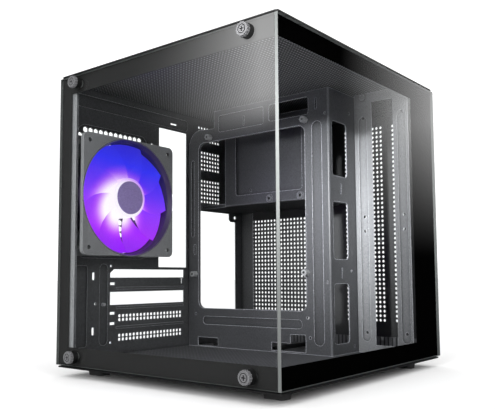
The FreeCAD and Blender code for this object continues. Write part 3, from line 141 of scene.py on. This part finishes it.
# zinc plated steel: a soft grey shine, with painted shade in the recesses
zinc = textured("zinc_plated_steel", "a8a8aa", 0.35, metal=0.35, vary=0.05, cavity=0.6)
finish_nodes(rubber, "feet")
finish_nodes(base_coat, "base_plate")
finish_nodes(filter_net, "bottom_filter")
finish_nodes(zinc, "foot_screws")


# floor pan, roof pan and roof plate
# Folded steel sheets, powder coated, with a field of fine punched holes over each pan.
# The slotted roof plate is screwed on top.

def dotted(name, code, hole_code, pitch, hole):
    """Powder coat with round dots on a square lattice, one to each pitch. The edge of a dot is
    soft over 15 % of its radius to both sides, and dips by half a millimetre."""
    material, tree = blank(name)
    place = add(tree, "TexCoord").outputs["Object"]
    cells = add(tree, "TexVoronoi", {"Vector": place, "Scale": 1 / pitch, "Randomness": 0.0},
                voronoi_dimensions="2D")
    radius = hole / pitch / 2
    coated = add(tree, "MapRange", {"Value": cells.outputs["Distance"], "From Min": radius * 0.85,
                                    "From Max": radius * 1.15})
    tone = grain(tree, 1.111 * mm, 0.85, 1.15)
    base = add(tree, "HueSaturation", {"Color": colour(code), "Value": tone}).outputs[0]
    # the dots are painted light and shade seen through the holes
    mixed = add(tree, "Mix", {0: coated, 6: colour(hole_code), 7: base}, data_type="RGBA").outputs[2]
    normal = add(tree, "Bump", {"Height": coated, "Distance": 0.5 * mm, "Strength": 0.6})
    surface = add(tree, "BsdfPrincipled", {"Base Color": mixed, "Roughness": 0.45, "Normal": normal})
    add(tree, "OutputMaterial", {"Surface": surface})
    return material


# powder coat with punched holes drawn as dots: dark dots of painted shade on the floor, and pale
# # dots of painted light on the ceiling, where light comes through. The real holes are finer, and are drawn
# as coarse as they need to show.
floor_coat = dotted("floor_powder_coat", "666669", "0c0c0d", 4.8 * mm, 3.0 * mm)
roof_coat = dotted("roof_powder_coat", "343435", "b4b4b6", 3.6 * mm, 1.5 * mm)
finish_nodes(floor_coat, "floor_pan")
finish_nodes(roof_coat, "roof_pan")
finish_nodes(base_coat, "roof_plate")


# rear panel with its slot clamp
# One pressed steel sheet with folded edges, powder coated. Beside the fan's vent and the card
# slots, its second chamber has three blocks of fine punched vents.

def reworked(mesh, change):
    """The same mesh after a change of its points, edges and faces."""
    work = bmesh.new()
    work.from_mesh(mesh)
    change(work)
    work.to_mesh(mesh)
    work.free()
    return mesh


def merged_copy(node, name):
    """A copy of a piece's mesh with its doubled points merged."""
    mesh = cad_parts[node].data.copy()
    mesh.name = name
    return reworked(mesh, lambda work: bmesh.ops.remove_doubles(work, verts=work.verts, dist=0.001 * mm))


def outward(mesh):
    """Turns the faces of a closed mesh outwards."""
    return reworked(mesh, lambda work: bmesh.ops.recalc_face_normals(work, faces=work.faces))


def face_rows(mesh, field):
    """A field of a mesh's faces, such as their normal or centre, one face to a row."""
    values = np.empty(len(mesh.polygons) * 3, np.float32)
    mesh.polygons.foreach_get(field, values)
    return values.reshape(-1, 3)


def coat_faces(mesh, material, chosen):
    """Adds a material to a mesh and gives it to the chosen faces."""
    mesh.materials.append(material)
    index = np.empty(len(mesh.polygons), np.int32)
    mesh.polygons.foreach_get("material_index", index)
    index[chosen] = len(mesh.materials) - 1
    mesh.polygons.foreach_set("material_index", index)


def lattice(us, vs):
    """Every pair of a value of us with a value of vs, one pair to a row."""
    return np.stack(np.meshgrid(us, vs, indexing="ij"), -1).reshape(-1, 2)


def pins(axis, centres, diameter, start, end, sides=10):
    """Closed prisms along an axis, one for each centre: corner k of a ring stands at
    centre + radius (cos, sin) of the angle 2 pi (k + 1/2) / sides."""
    u, v = centres.T
    turn = 2 * np.pi * (np.arange(sides) + 0.5) / sides
    ring_u = u[:, None] + diameter / 2 * np.cos(turn)
    ring_v = v[:, None] + diameter / 2 * np.sin(turn)
    order = {"x": (2, 0, 1), "y": (0, 2, 1)}[axis]
    rings = []
    for level in (start, end):
        parts = np.stack([ring_u, ring_v, np.full_like(ring_u, level)], -1)
        rings.append(parts[..., list(order)].reshape(-1, 3))
    first = np.arange(len(u))[:, None] * sides + np.arange(sides)
    after = np.arange(len(u))[:, None] * sides + (np.arange(sides) + 1) % sides
    shift = len(u) * sides
    walls = np.stack([first, after, after + shift, first + shift], -1).reshape(-1, 4)
    faces = walls.tolist() + first[:, ::-1].tolist() + (first + shift).tolist()
    mesh = bpy.data.meshes.new("pins")
    mesh.from_pydata(np.concatenate(rings).tolist(), [], faces)
    return outward(mesh)


def new_piece(name, mesh, material):
    """A fixed piece of the case on the chassis body, with the given material."""
    piece = bpy.data.objects.new(name, mesh)
    bpy.context.collection.objects.link(piece)
    mesh.materials.clear()
    mesh.materials.append(material)
    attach(piece, "chassis")
    return piece


def drilled(name, mesh, cutters, material, node):
    """A piece that replaces a plainer one: the given mesh less the prisms of all cutters."""
    joined = bmesh.new()
    for cutter in cutters:
        joined.from_mesh(cutter)
    prisms = bpy.data.meshes.new("prisms")
    joined.to_mesh(prisms)
    joined.free()
    blank_sheet = bpy.data.objects.new("blank_sheet", mesh)
    punch = bpy.data.objects.new("punch", prisms)
    for item in (blank_sheet, punch):
        bpy.context.collection.objects.link(item)
    holes = blank_sheet.modifiers.new("holes", "BOOLEAN")
    holes.object = punch
    holes.solver = "EXACT"
    shown = blank_sheet.evaluated_get(bpy.context.evaluated_depsgraph_get())
    result = bpy.data.meshes.new_from_object(shown)
    result.name = name
    for item in (blank_sheet, punch):
        bpy.data.objects.remove(item)
    piece = new_piece(name, result, material)
    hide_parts(node)
    return result


vent_pitch = 5.0 * mm
vent_hole = 3.2 * mm
vent_left = 60.8 * mm
vent_columns = vent_left + vent_pitch * np.arange(8)
# the lowest row of each block, and the number of its rows
vent_blocks = ((185.3 * mm, 6), (225.3 * mm, 5), (260.5 * mm, 4))
vent_rows = np.concatenate([lowest + vent_pitch * np.arange(count) for lowest, count in vent_blocks])
# the cutters start before the sheet and end behind it
vent_start, vent_end = 120 * mm, 140 * mm
rear_vents = pins("y", lattice(vent_columns, vent_rows), vent_hole, vent_start, vent_end, 12)
# powder coat: dark grey with a visible grit, with painted shade in the presses and painted highlights on open
# edges
panel_coat = textured("rear_powder_coat", "464648", 0.45, vary=0.25, cavity=0.7, rim=6.0)
# the same coat, painted paler as painted light on the folded edge behind the side glass, which catches the
# light
flange_coat_painted_lit = textured("flange_powder_coat_painted_lit", "828284", 0.4)
rear_mesh = drilled("rear_panel_vented", merged_copy("rear_panel", "rear"), [rear_vents], panel_coat,
                    "rear_panel")
flange_face_x = -131.5 * mm
# painted light: the left-facing faces of the folded edge take the paler copy of the coat
facing_left = face_rows(rear_mesh, "normal")[:, 0] < -0.8
coat_faces(rear_mesh, flange_coat_painted_lit, facing_left & (face_rows(rear_mesh, "center")[:, 0] < flange_face_x))
finish_nodes(base_coat, "slot_clamp")
finish_nodes(zinc, "slot_clamp_screw")


# motherboard tray, side rails and drive bracket
# Pressed and folded steel sheets, powder coated and riveted to the pans, with zinc plated
# standoffs in the tray. The power supply lies on two foam strips behind it.

def pressed_piece(node, name, material):
    """A pressed sheet shown by its merged copy, whose edges are rounded to catch the light."""
    mesh = reworked(merged_copy(node, name), lambda work: bmesh.ops.dissolve_limit(
        work, angle_limit=math.radians(1), verts=work.verts, edges=work.edges))
    piece = new_piece(name, mesh, material)
    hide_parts(node)
    edges = piece.modifiers.new("edges", "BEVEL")
    edges.width = 0.35 * mm
    edges.segments = 2
    edges.limit_method = "ANGLE"
    edges.angle_limit = math.radians(40)
    edges.use_clamp_overlap = True


# one powder coat: mid grey on the tray, painted paler as painted light on the rails that face the light,
# # and painted darker as painted shade on the bracket in the shade. All three show a coarse grit, painted
# shade in their presses and painted highlights along them.
tray_coat = textured("tray_powder_coat", "464649", 0.4, vary=0.25, cavity=0.8, rim=9.0)
rail_coat_painted_lit = textured("rail_powder_coat_painted_lit", "767679", 0.4, vary=0.18, cavity=0.8, rim=2.2)
drive_coat_painted_shade = textured("drive_powder_coat_painted_shade", "343437", 0.4, vary=0.25, cavity=0.75, rim=10.0)
# closed cell foam: black and dull
foam = textured("closed_cell_foam", "141415", 0.9, grit=0.5 * mm, vary=0.3)
pressed_piece("motherboard_tray", "motherboard_tray_pressed", tray_coat)
pressed_piece("side_rail_bracket", "side_rail_bracket_pressed", rail_coat_painted_lit)
pressed_piece("drive_bracket", "drive_bracket_pressed", drive_coat_painted_shade)
finish_nodes(zinc, "standoffs")
finish_nodes(foam, "psu_pads")


# right panel
# A folded and powder coated steel sheet that closes the second chamber, held by two screws at
# the rear. Its three fields of round holes let the air through.

cover_low, cover_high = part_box("right_panel")
sheet_t = 1.0 * mm
fold_r = 0.8 * mm
cover_lip = 10 * mm
cover_pitch = 5.0 * mm
cover_hole = 3.15 * mm
cover_screw_hole = 3.6 * mm
cover_screw_x = 136.7 * mm


def rounded_path(corners, radius):
    """A path with its two inner corners as arcs of five points: the centre c is the corner plus
    radius times both ways out of it, back b and on f, and a point is c - radius (f cos a + b sin a)
    with a from 0 to a right angle."""
    angles = np.linspace(0, np.pi / 2, 5)[:, None]
    arcs = []
    for before, corner, after in zip(corners, corners[1:], corners[2:]):
        back = (before - corner) / np.linalg.norm(before - corner)
        on = (after - corner) / np.linalg.norm(after - corner)
        arcs.append(corner + (back + on) * radius - radius * (on * np.cos(angles) + back * np.sin(angles)))
    return np.concatenate([corners[:1], *arcs, corners[-1:]])


def folded_panel():
    """The panel's sheet: the line of a strip, folded at its rear and front edge, is carried from
    the lower to the upper edge. The inner line lies one sheet inside the outer one."""
    x1, y0, y1 = cover_high.x, cover_low.y, cover_high.y
    rear_x, front_x = x1 - cover_lip, x1 - 2 * sheet_t
    outer = np.array([(rear_x, y1), (x1, y1), (x1, y0), (front_x, y0)])
    inner = np.array([(rear_x, y1 - sheet_t), (x1 - sheet_t, y1 - sheet_t),
                      (x1 - sheet_t, y0 + sheet_t), (front_x, y0 + sheet_t)])
    line = np.concatenate([rounded_path(outer, fold_r + sheet_t), rounded_path(inner, fold_r)[::-1]])
    count = len(line)
    points = np.concatenate([np.column_stack([line, np.full(count, z)]) for z in (cover_low.z, cover_high.z)])
    first = np.arange(count)
    after = (first + 1) % count
    walls = np.stack([first, after, after + count, first + count], -1)
    mesh = bpy.data.meshes.new("folded_panel")
    mesh.from_pydata(points.tolist(), [], walls.tolist() + [first[::-1].tolist(), (first + count).tolist()])
    return outward(mesh)


def cover_field(y, z, columns, rows):
    """Centres of a field of holes that starts at its rear upper corner."""
    return lattice(y * mm - cover_pitch * np.arange(columns), z * mm - cover_pitch * np.arange(rows))


fields = [cover_field(111.65, 164.2, 24, 26), cover_field(-27.45, 260.0, 10, 44),
          cover_field(-87.15, 260.0, 4, 44)]
fine_holes = pins("x", np.concatenate(fields), cover_hole, cover_high.x - 2 * sheet_t,
                  cover_high.x + sheet_t)
screw_holes = pins("y", lattice([cover_screw_x], [37.0 * mm, 264.5 * mm]), cover_screw_hole,
                   cover_high.y - 2 * sheet_t, cover_high.y + sheet_t)
# powder coat: an even dark grey
cover_coat = textured("cover_powder_coat", "333334", 0.5)
drilled("right_panel_perforated", folded_panel(), [fine_holes, screw_holes], cover_coat, "right_panel")
finish_nodes(zinc, "right_panel_screws")


# glass panes with their print, tapes and screws
# Clear tempered glass, ground at its edges and printed round its inner face. Foam tape holds
# the front pane, and four fluted screws in rubber bushings hold the side pane.

# bounds of the painted reflection of a window on the side pane's outer face
reflection_rear, reflection_front = 55 * mm, -117 * mm
reflection_low, reflection_high = 194.4 * mm, 231.5 * mm


def painted_window_reflection(tree):
    """A painted reflection of a window, glowing on the outer face: 0.3 a^3.3 b, where a grows from 0 to 1
    from the reflection's rear to its front, and b from its lower to its upper end."""
    split = add(tree, "SeparateXYZ", {0: add(tree, "TexCoord").outputs["Object"]})
    forward = add(tree, "MapRange", {"Value": split.outputs[1], "From Min": reflection_rear,
                                     "From Max": reflection_front})
    upward = add(tree, "MapRange", {"Value": split.outputs[2], "From Min": reflection_low,
                                    "From Max": reflection_high}, interpolation_type="SMOOTHSTEP")
    steep = add(tree, "Math", {0: forward, 1: 3.3}, operation="POWER")
    light = add(tree, "Math", {0: steep, 1: upward}, operation="MULTIPLY")
    outside = add(tree, "Math", {0: 1.0, 1: add(tree, "NewGeometry").outputs["Backfacing"]},
                  operation="SUBTRACT")
    shown = add(tree, "Math", {0: light, 1: outside}, operation="MULTIPLY")
    strength = add(tree, "Math", {0: shown, 1: 0.3}, operation="MULTIPLY")
    return add(tree, "Emission", {"Strength": strength})


def pane_glass(name, least, glow=False):
    """Clear glass in one pass: it reflects least + 0.96 (1 - cos)^5 by the angle of view. With glow, a
    painted reflection of a window glows on its outer face.
    """
    material, tree = blank(name)
    facing = add(tree, "LayerWeight", {"Blend": 0.5}).outputs["Facing"]
    steep = add(tree, "Math", {0: facing, 1: 5.0}, operation="POWER")
    share = add(tree, "Math", {0: steep, 1: 0.96, 2: least}, operation="MULTIPLY_ADD")
    clear = add(tree, "BsdfTransparent", {"Color": colour("fdfefe")})
    mirror = add(tree, "BsdfGlossy", {"Color": colour("ffffff"), "Roughness": 0.0})
    pane = add(tree, "MixShader", {0: share, 1: clear, 2: mirror})
    # painted reflection: the glow of a window is added on the outer face
    if glow:
        pane = add(tree, "AddShader", {0: pane, 1: painted_window_reflection(tree)})
    add(tree, "OutputMaterial", {"Surface": pane})
    return material


def finish_pane(node, clear, axis):
    """Clear faces on a pane and ground ones where the glass is cut."""
    finish_nodes(clear, node)
    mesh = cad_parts[node].data
    coat_faces(mesh, ground_edge, abs(face_rows(mesh, "normal")[:, axis]) <= 0.9)
    return mesh


def border(name, axis, level, outer, inner, ink):
    """A thin closed frame of print: two rings of four corners at the level and as many one
    thickness behind it. Outer and inner are (u0, v0, u1, v1) in the pane's plane."""
    rings = np.array([(outer, inner)] * 2)[..., [[0, 1], [2, 1], [2, 3], [0, 3]]].reshape(-1, 2)
    depth = np.repeat([level, level + 0.03 * mm], 8)
    u, v = rings.T
    points = np.column_stack([depth, u, v] if axis == "x" else [u, depth, v])
    k = np.arange(4)
    n = (k + 1) % 4
    quads = [(k, n, n + 4, k + 4), (k + 8, k + 12, n + 12, n + 8), (k, k + 8, n + 8, n),
             (k + 4, n + 4, n + 12, k + 12)]
    faces = np.concatenate([np.stack(quad, -1) for quad in quads])
    mesh = bpy.data.meshes.new(name)
    mesh.from_pydata(points.tolist(), [], faces.tolist())
    new_piece(name, outward(mesh), ink)


# tempered glass: clear, a mirror only at a low angle. The side pane's outer face is brighter from a painted
# reflection of a window.
side_clear = pane_glass("side_pane_glass", 0.007)
side_outer_painted_reflection = pane_glass("side_pane_outer_painted_reflection", 0.007, glow=True)
front_clear = pane_glass("front_pane_glass", 0.035)
# ground glass: a pale, matte grey line along the cut edges
ground_edge = textured("ground_glass_edge", "676a69", 0.5, vary=0.05)
# baked ceramic ink: an even black without shine, painted a little paler on the side pane as painted light
side_ink_painted_lit = textured("side_ceramic_print_painted_lit", "292929", 0.6, bump=0.0, vary=0.02, specular=0.0)
front_ink = textured("front_ceramic_print", "020202", 0.6, bump=0.0, specular=0.0)
# moulded rubber: black rings round the screws
bush_rubber = textured("bush_rubber", "0d0d0d", 0.6, grit=0.625 * mm)
# turned and plated steel: grey, with painted highlights on the flutes and painted shade in the recess
turned_steel = textured("turned_steel", "717173", 0.3, metal=0.3, vary=0.04, cavity=0.9, rim=1.5)

side_mesh = finish_pane("side_glass", side_clear, 0)
coat_faces(side_mesh, side_outer_painted_reflection, face_rows(side_mesh, "normal")[:, 0] < -0.9)
finish_pane("front_glass", front_clear, 1)

side_low, side_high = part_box("side_glass")
front_low, front_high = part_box("front_glass")
print_edge = 0.05 * mm
print_depth = 0.06 * mm
print_low = 17 * mm
print_high = 16.9 * mm
side_window_rear = 116.5 * mm
front_window_right = 95.0 * mm
side_rim = (side_low[1] + print_edge, side_low[2] + print_edge,
            side_high[1] - print_edge, side_high[2] - print_edge)
side_window = (side_low[1] + print_edge * 2, side_low[2] + print_low,
               side_window_rear, side_high[2] - print_high)
front_rim = (front_low[0] + print_edge, front_low[2] + print_edge,
             front_high[0] - print_edge, front_high[2] - print_edge)
front_window = (front_low[0] + print_edge * 2, front_low[2] + print_low,
                front_window_right, front_high[2] - print_high)
border("side_print", "x", side_high[0] - print_depth, side_rim, side_window, side_ink_painted_lit)
border("front_print", "y", front_high[1] - print_depth, front_rim, front_window, front_ink)
finish_nodes(foam, "front_glass_tapes")
finish_nodes(bush_rubber, "glass_bushings")
finish_nodes(turned_steel, "glass_thumb_screws")
finish_nodes(zinc, "glass_screw_nuts")


# front panel module under the roof
# A black moulded housing holds a green board with plated sockets, and two polished buttons
# press on the switches of that board.

# moulded plastic: black with a fine spark texture
moulded = textured("moulded_plastic", "161617", 0.55, grit=0.556 * mm)
# nickel plate: a bright grey shine inside the sockets
plated = textured("nickel_plate", "a4a4a6", 0.28, metal=0.4, vary=0.04)
# solder mask: a glossy dark green film
mask_green = textured("solder_mask", "10331f", 0.3)
# polished plastic: black with sharp reflections
gloss = textured("polished_plastic", "1b1b1c", 0.15, bump=0.0)
finish_nodes(moulded, "io_housing", "audio_jack", "button_switches")
finish_nodes(plated, "usb_a_sockets", "usb_c_socket")
finish_nodes(mask_green, "io_board")
finish_nodes(gloss, "power_button", "reset_button")


# rear fan
# A moulded frame holds a motor, and a frosted rotor with a plain hub cap turns on it. Lamps in
# the hub light the blades from inside.

fan_low, fan_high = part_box("fan_frame")
fan_x = (fan_low[0] + fan_high[0]) / 2
fan_z = (fan_low[2] + fan_high[2]) / 2
rotor_reach = 60 * mm
glow_beside, glow_below = 6 * mm, 5 * mm
glow_rim, glow_heart = 41 * mm, 17 * mm


def lit_rotor(name):
    """Light of a frosted rotor: blue above, violet beside and magenta below the hub, with a
    glow that falls from white through pink with the distance from a point beside the hub."""
    material, tree = blank(name)
    split = add(tree, "SeparateXYZ", {0: add(tree, "TexCoord").outputs["Object"]})
    x = add(tree, "Math", {0: split.outputs[0], 1: fan_x}, operation="SUBTRACT")
    z = add(tree, "Math", {0: split.outputs[2], 1: fan_z}, operation="SUBTRACT")
    tilted = add(tree, "Math", {0: x, 1: 0.15, 2: z}, operation="MULTIPLY_ADD")
    level = add(tree, "MapRange", {"Value": tilted, "From Min": -rotor_reach, "From Max": rotor_reach})
    ramp = add(tree, "ValToRGB", {0: level})
    stops = ramp.color_ramp.elements
    stops[0].position, stops[0].color = 0.0, colour("8c1cf2")
    stops[1].position, stops[1].color = 1.0, colour("2a20c4")
    for position, code in ((0.22, "a42cf8"), (0.42, "9038fa"), (0.6, "6030f4"), (0.8, "2c2cee")):
        stops.new(position).color = colour(code)
    beside = add(tree, "Math", {0: x, 1: glow_beside}, operation="ADD")
    below = add(tree, "Math", {0: z, 1: glow_below}, operation="ADD")
    from_glow = add(tree, "CombineXYZ", {0: beside, 1: below})
    distance = add(tree, "VectorMath", {0: from_glow}, operation="LENGTH").outputs["Value"]
    glow = add(tree, "MapRange", {"Value": distance, "From Min": glow_rim, "From Max": glow_heart},
               interpolation_type="SMOOTHSTEP")
    pink = add(tree, "Mix", {0: 0.45, 6: colour("ff62ff"), 7: ramp}, data_type="RGBA").outputs[2]
    tinted = add(tree, "Mix", {0: glow, 6: ramp, 7: pink}, data_type="RGBA").outputs[2]
    core = add(tree, "Math", {0: glow, 1: 3.0}, operation="POWER")
    shown = add(tree, "Mix", {0: core, 6: tinted, 7: (1, 0.93, 1, 1)}, data_type="RGBA").outputs[2]
    surface = add(tree, "BsdfPrincipled", {"Base Color": (0.02, 0.02, 0.05, 1), "Roughness": 0.35,
                                           "Emission Color": shown, "Emission Strength": 1.0})
    add(tree, "OutputMaterial", {"Surface": surface})
    return material


# moulded plastic: mid grey and matte outside, with painted shade in its hollows and faint painted highlights
# on its edges; painted shade and painted violet light in the bore, where the light spills
frame_plastic = textured("fan_frame_plastic", "78787a", 0.5, grit=0.833 * mm, vary=0.15, cavity=0.8,
                         rim=0.8)
bore_painted_shade_and_glow = textured("fan_bore_painted_shade_and_glow", "3b3446", 0.3, grit=0.833 * mm)
# frosted plastic lit from inside: it glows and hides its own shading
rotor_light = lit_rotor("frosted_lit_plastic")
# satin plastic on the cap: smooth, and painted grey violet as painted light from the glow round it
cap_painted_violet_light = textured("satin_cap_painted_violet_light", "8d7cb2", 0.4, bump=0.0)
# bonded ferrite: a dull black ring
ferrite = textured("bonded_ferrite", "2a2a2c", 0.6)
# sintered bronze: a dark gold bush
bronze = textured("sintered_bronze", "8f7448", 0.5, metal=1.0, vary=0.1)

# the painted shade and violet light lie in the bore, and in the shallow groove round it on the front corners
groove_inner, groove_outer = 59.9 * mm, 61 * mm
groove_top, groove_floor = 0.2 * mm, 1.0 * mm
bore_reach = 59.8 * mm
finish_nodes(frame_plastic, "fan_frame")
frame_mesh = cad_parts["fan_frame"].data
centres = face_rows(frame_mesh, "center")
from_axis = np.hypot(centres[:, 0] - fan_x, centres[:, 2] - fan_z)
depth = centres[:, 1] - fan_low[1]
in_groove = ((groove_inner < from_axis) & (from_axis < groove_outer)
             & (groove_top < depth) & (depth < groove_floor))
in_bore = (abs(face_rows(frame_mesh, "normal")[:, 1]) < 0.8) & (from_axis < bore_reach)
coat_faces(frame_mesh, bore_painted_shade_and_glow, in_groove | in_bore)
finish_nodes(rotor_light, "fan_rotor")
finish_nodes(cap_painted_violet_light, "fan_hub_cap")
finish_nodes(ferrite, "fan_magnet")
finish_nodes(bronze, "fan_sleeve")
finish_nodes(mask_green, "fan_board")
finish_nodes(zinc, "fan_shaft", "fan_stator", "fan_screws")


# studio
# A pale paper floor, soft lights, a narrow light on the tray and the rails, and a bright card
# that only reflections see.

def sheet(name, corners, material):
    """One flat face of the studio."""
    mesh = bpy.data.meshes.new(name)
    mesh.from_pydata(corners, [], [(0, 1, 2, 3)])
    item = bpy.data.objects.new(name, mesh)
    bpy.context.collection.objects.link(item)
    mesh.materials.append(material)
    return item


def card_light(name, peak, side_run, side_power, rise_run, rise_power):
    """Light of a card: peak times two shares. Each share grows from 0 to 1 between the two
    places of its run, along Y and along Z, and is raised to its power."""
    material, tree = blank(name)
    split = add(tree, "SeparateXYZ", {0: add(tree, "TexCoord").outputs["Object"]})
    shares = []
    for axis, (start, full), power in ((1, side_run, side_power), (2, rise_run, rise_power)):
        run = add(tree, "MapRange", {"Value": split.outputs[axis], "From Min": start, "From Max": full})
        shares.append(add(tree, "Math", {0: run, 1: power}, operation="POWER"))
    both = add(tree, "Math", {0: shares[0], 1: shares[1]}, operation="MULTIPLY")
    light = add(tree, "Math", {0: both, 1: peak}, operation="MULTIPLY")
    add(tree, "OutputMaterial", {"Surface": add(tree, "Emission", {"Strength": light})})
    return material


def aimed(item, place, target):
    """Puts a lamp at its place and turns it to its target."""
    item.location = place
    item.rotation_mode = "QUATERNION"
    item.rotation_quaternion = (Vector(target) - Vector(place)).to_track_quat("-Z", "Y")
    bpy.context.collection.objects.link(item)


def soft_light(name, place, target, width, height, power):
    """A rectangular lamp."""
    data = bpy.data.lights.new(name, "AREA")
    data.shape = "RECTANGLE"
    data.size = width
    data.size_y = height
    data.energy = power
    aimed(bpy.data.objects.new(name, data), place, target)


def narrow_light(name, place, target, angle, radius, power):
    """A round lamp with a soft-edged cone."""
    data = bpy.data.lights.new(name, "SPOT")
    data.spot_size = math.radians(angle)
    data.spot_blend = 1.0
    data.shadow_soft_size = radius
    data.energy = power
    aimed(bpy.data.objects.new(name, data), place, target)


# matte paper: almost white, so that the shadow stays visible on it
paper, paper_tree = blank("pale_paper")
paper_face = add(paper_tree, "BsdfDiffuse", {"Color": (0.93, 0.93, 0.93, 1)})
add(paper_tree, "OutputMaterial", {"Surface": paper_face})
floor_reach = 40.0
floor = sheet("studio_floor", [(-floor_reach, -floor_reach, 0), (floor_reach, -floor_reach, 0),
                               (floor_reach, floor_reach, 0), (-floor_reach, floor_reach, 0)], paper)
floor.visible_glossy = False

# the card lights the upper right corner of the front glass
card_x, card_front, card_rear, card_top = 6.0, -4.4, -1.0, 4.5
card = sheet("right_card", [(card_x, card_front, 0), (card_x, card_rear, 0), (card_x, card_rear, card_top),
                            (card_x, card_front, card_top)],
             card_light("right_card_light", 2.7, (-3.7, -2.53), 1.45, (0.28, 1.73), 1.7))
card.visible_camera = False
card.visible_diffuse = False
card.visible_shadow = False
card.visible_transmission = False

case_middle = (0, 0, 0.15)
soft_light("front_light", (-0.4, -2.2, 1.3), case_middle, 1.2, 1.0, 14)
soft_light("left_light", (-2.2, -0.3, 0.9), case_middle, 1.0, 1.0, 24)
narrow_light("column_light", (-1.5, -0.35, 0.42), (0.05, -0.08, 0.17), 8.5, 0.08, 420)

# plain light on the case, white for the camera and through glass, and none in reflections
world = bpy.data.worlds.new("studio_world")
world.use_nodes = True
sky = world.node_tree
sky.nodes.clear()
path = add(sky, "LightPath")
seen = add(sky, "Math", {0: path.outputs["Is Camera Ray"], 1: path.outputs["Is Transmission Ray"]},
           operation="MAXIMUM")
plain = add(sky, "Background", {"Color": colour("ffffff"), "Strength": 1.15})
white = add(sky, "Background", {"Color": colour("ffffff"), "Strength": 1.25})
dark = add(sky, "Background", {"Color": colour("000000"), "Strength": 0.0})
unlit = add(sky, "MixShader", {0: path.outputs["Is Glossy Ray"], 1: plain, 2: dark})
add(sky, "OutputWorld", {"Surface": add(sky, "MixShader", {0: seen, 1: unlit, 2: white})})
bpy.context.scene.world = world


# camera
# It stands low before the corner of the two panes and looks a little up: its place, three
# turns, lens and a small shift.

camera_place = Vector((-0.52149, -0.41357, 0.09194))
yaw = 0.89499
pitch = 0.08113
roll = -0.00642
forward = Vector((math.sin(yaw) * math.cos(pitch), math.cos(yaw) * math.cos(pitch), math.sin(pitch)))
level_right = Vector((math.cos(yaw), -math.sin(yaw), 0))
level_up = level_right.cross(forward)
right = level_right * math.cos(roll) + level_up * math.sin(roll)
up = level_up * math.cos(roll) - level_right * math.sin(roll)
camera_data = bpy.data.cameras.new("camera")
camera_data.sensor_width = 36.0
camera_data.lens = 48.04
camera_data.shift_x = -0.0002
camera_data.shift_y = 0.0398
camera_data.clip_start = 0.01
camera = bpy.data.objects.new("camera", camera_data)
turn = Matrix((right, up, -forward)).transposed()
camera.matrix_world = Matrix.Translation(camera_place) @ turn.to_4x4()
bpy.context.collection.objects.link(camera)
bpy.context.scene.camera = camera
bpy.context.scene.view_settings.view_transform = "Standard"
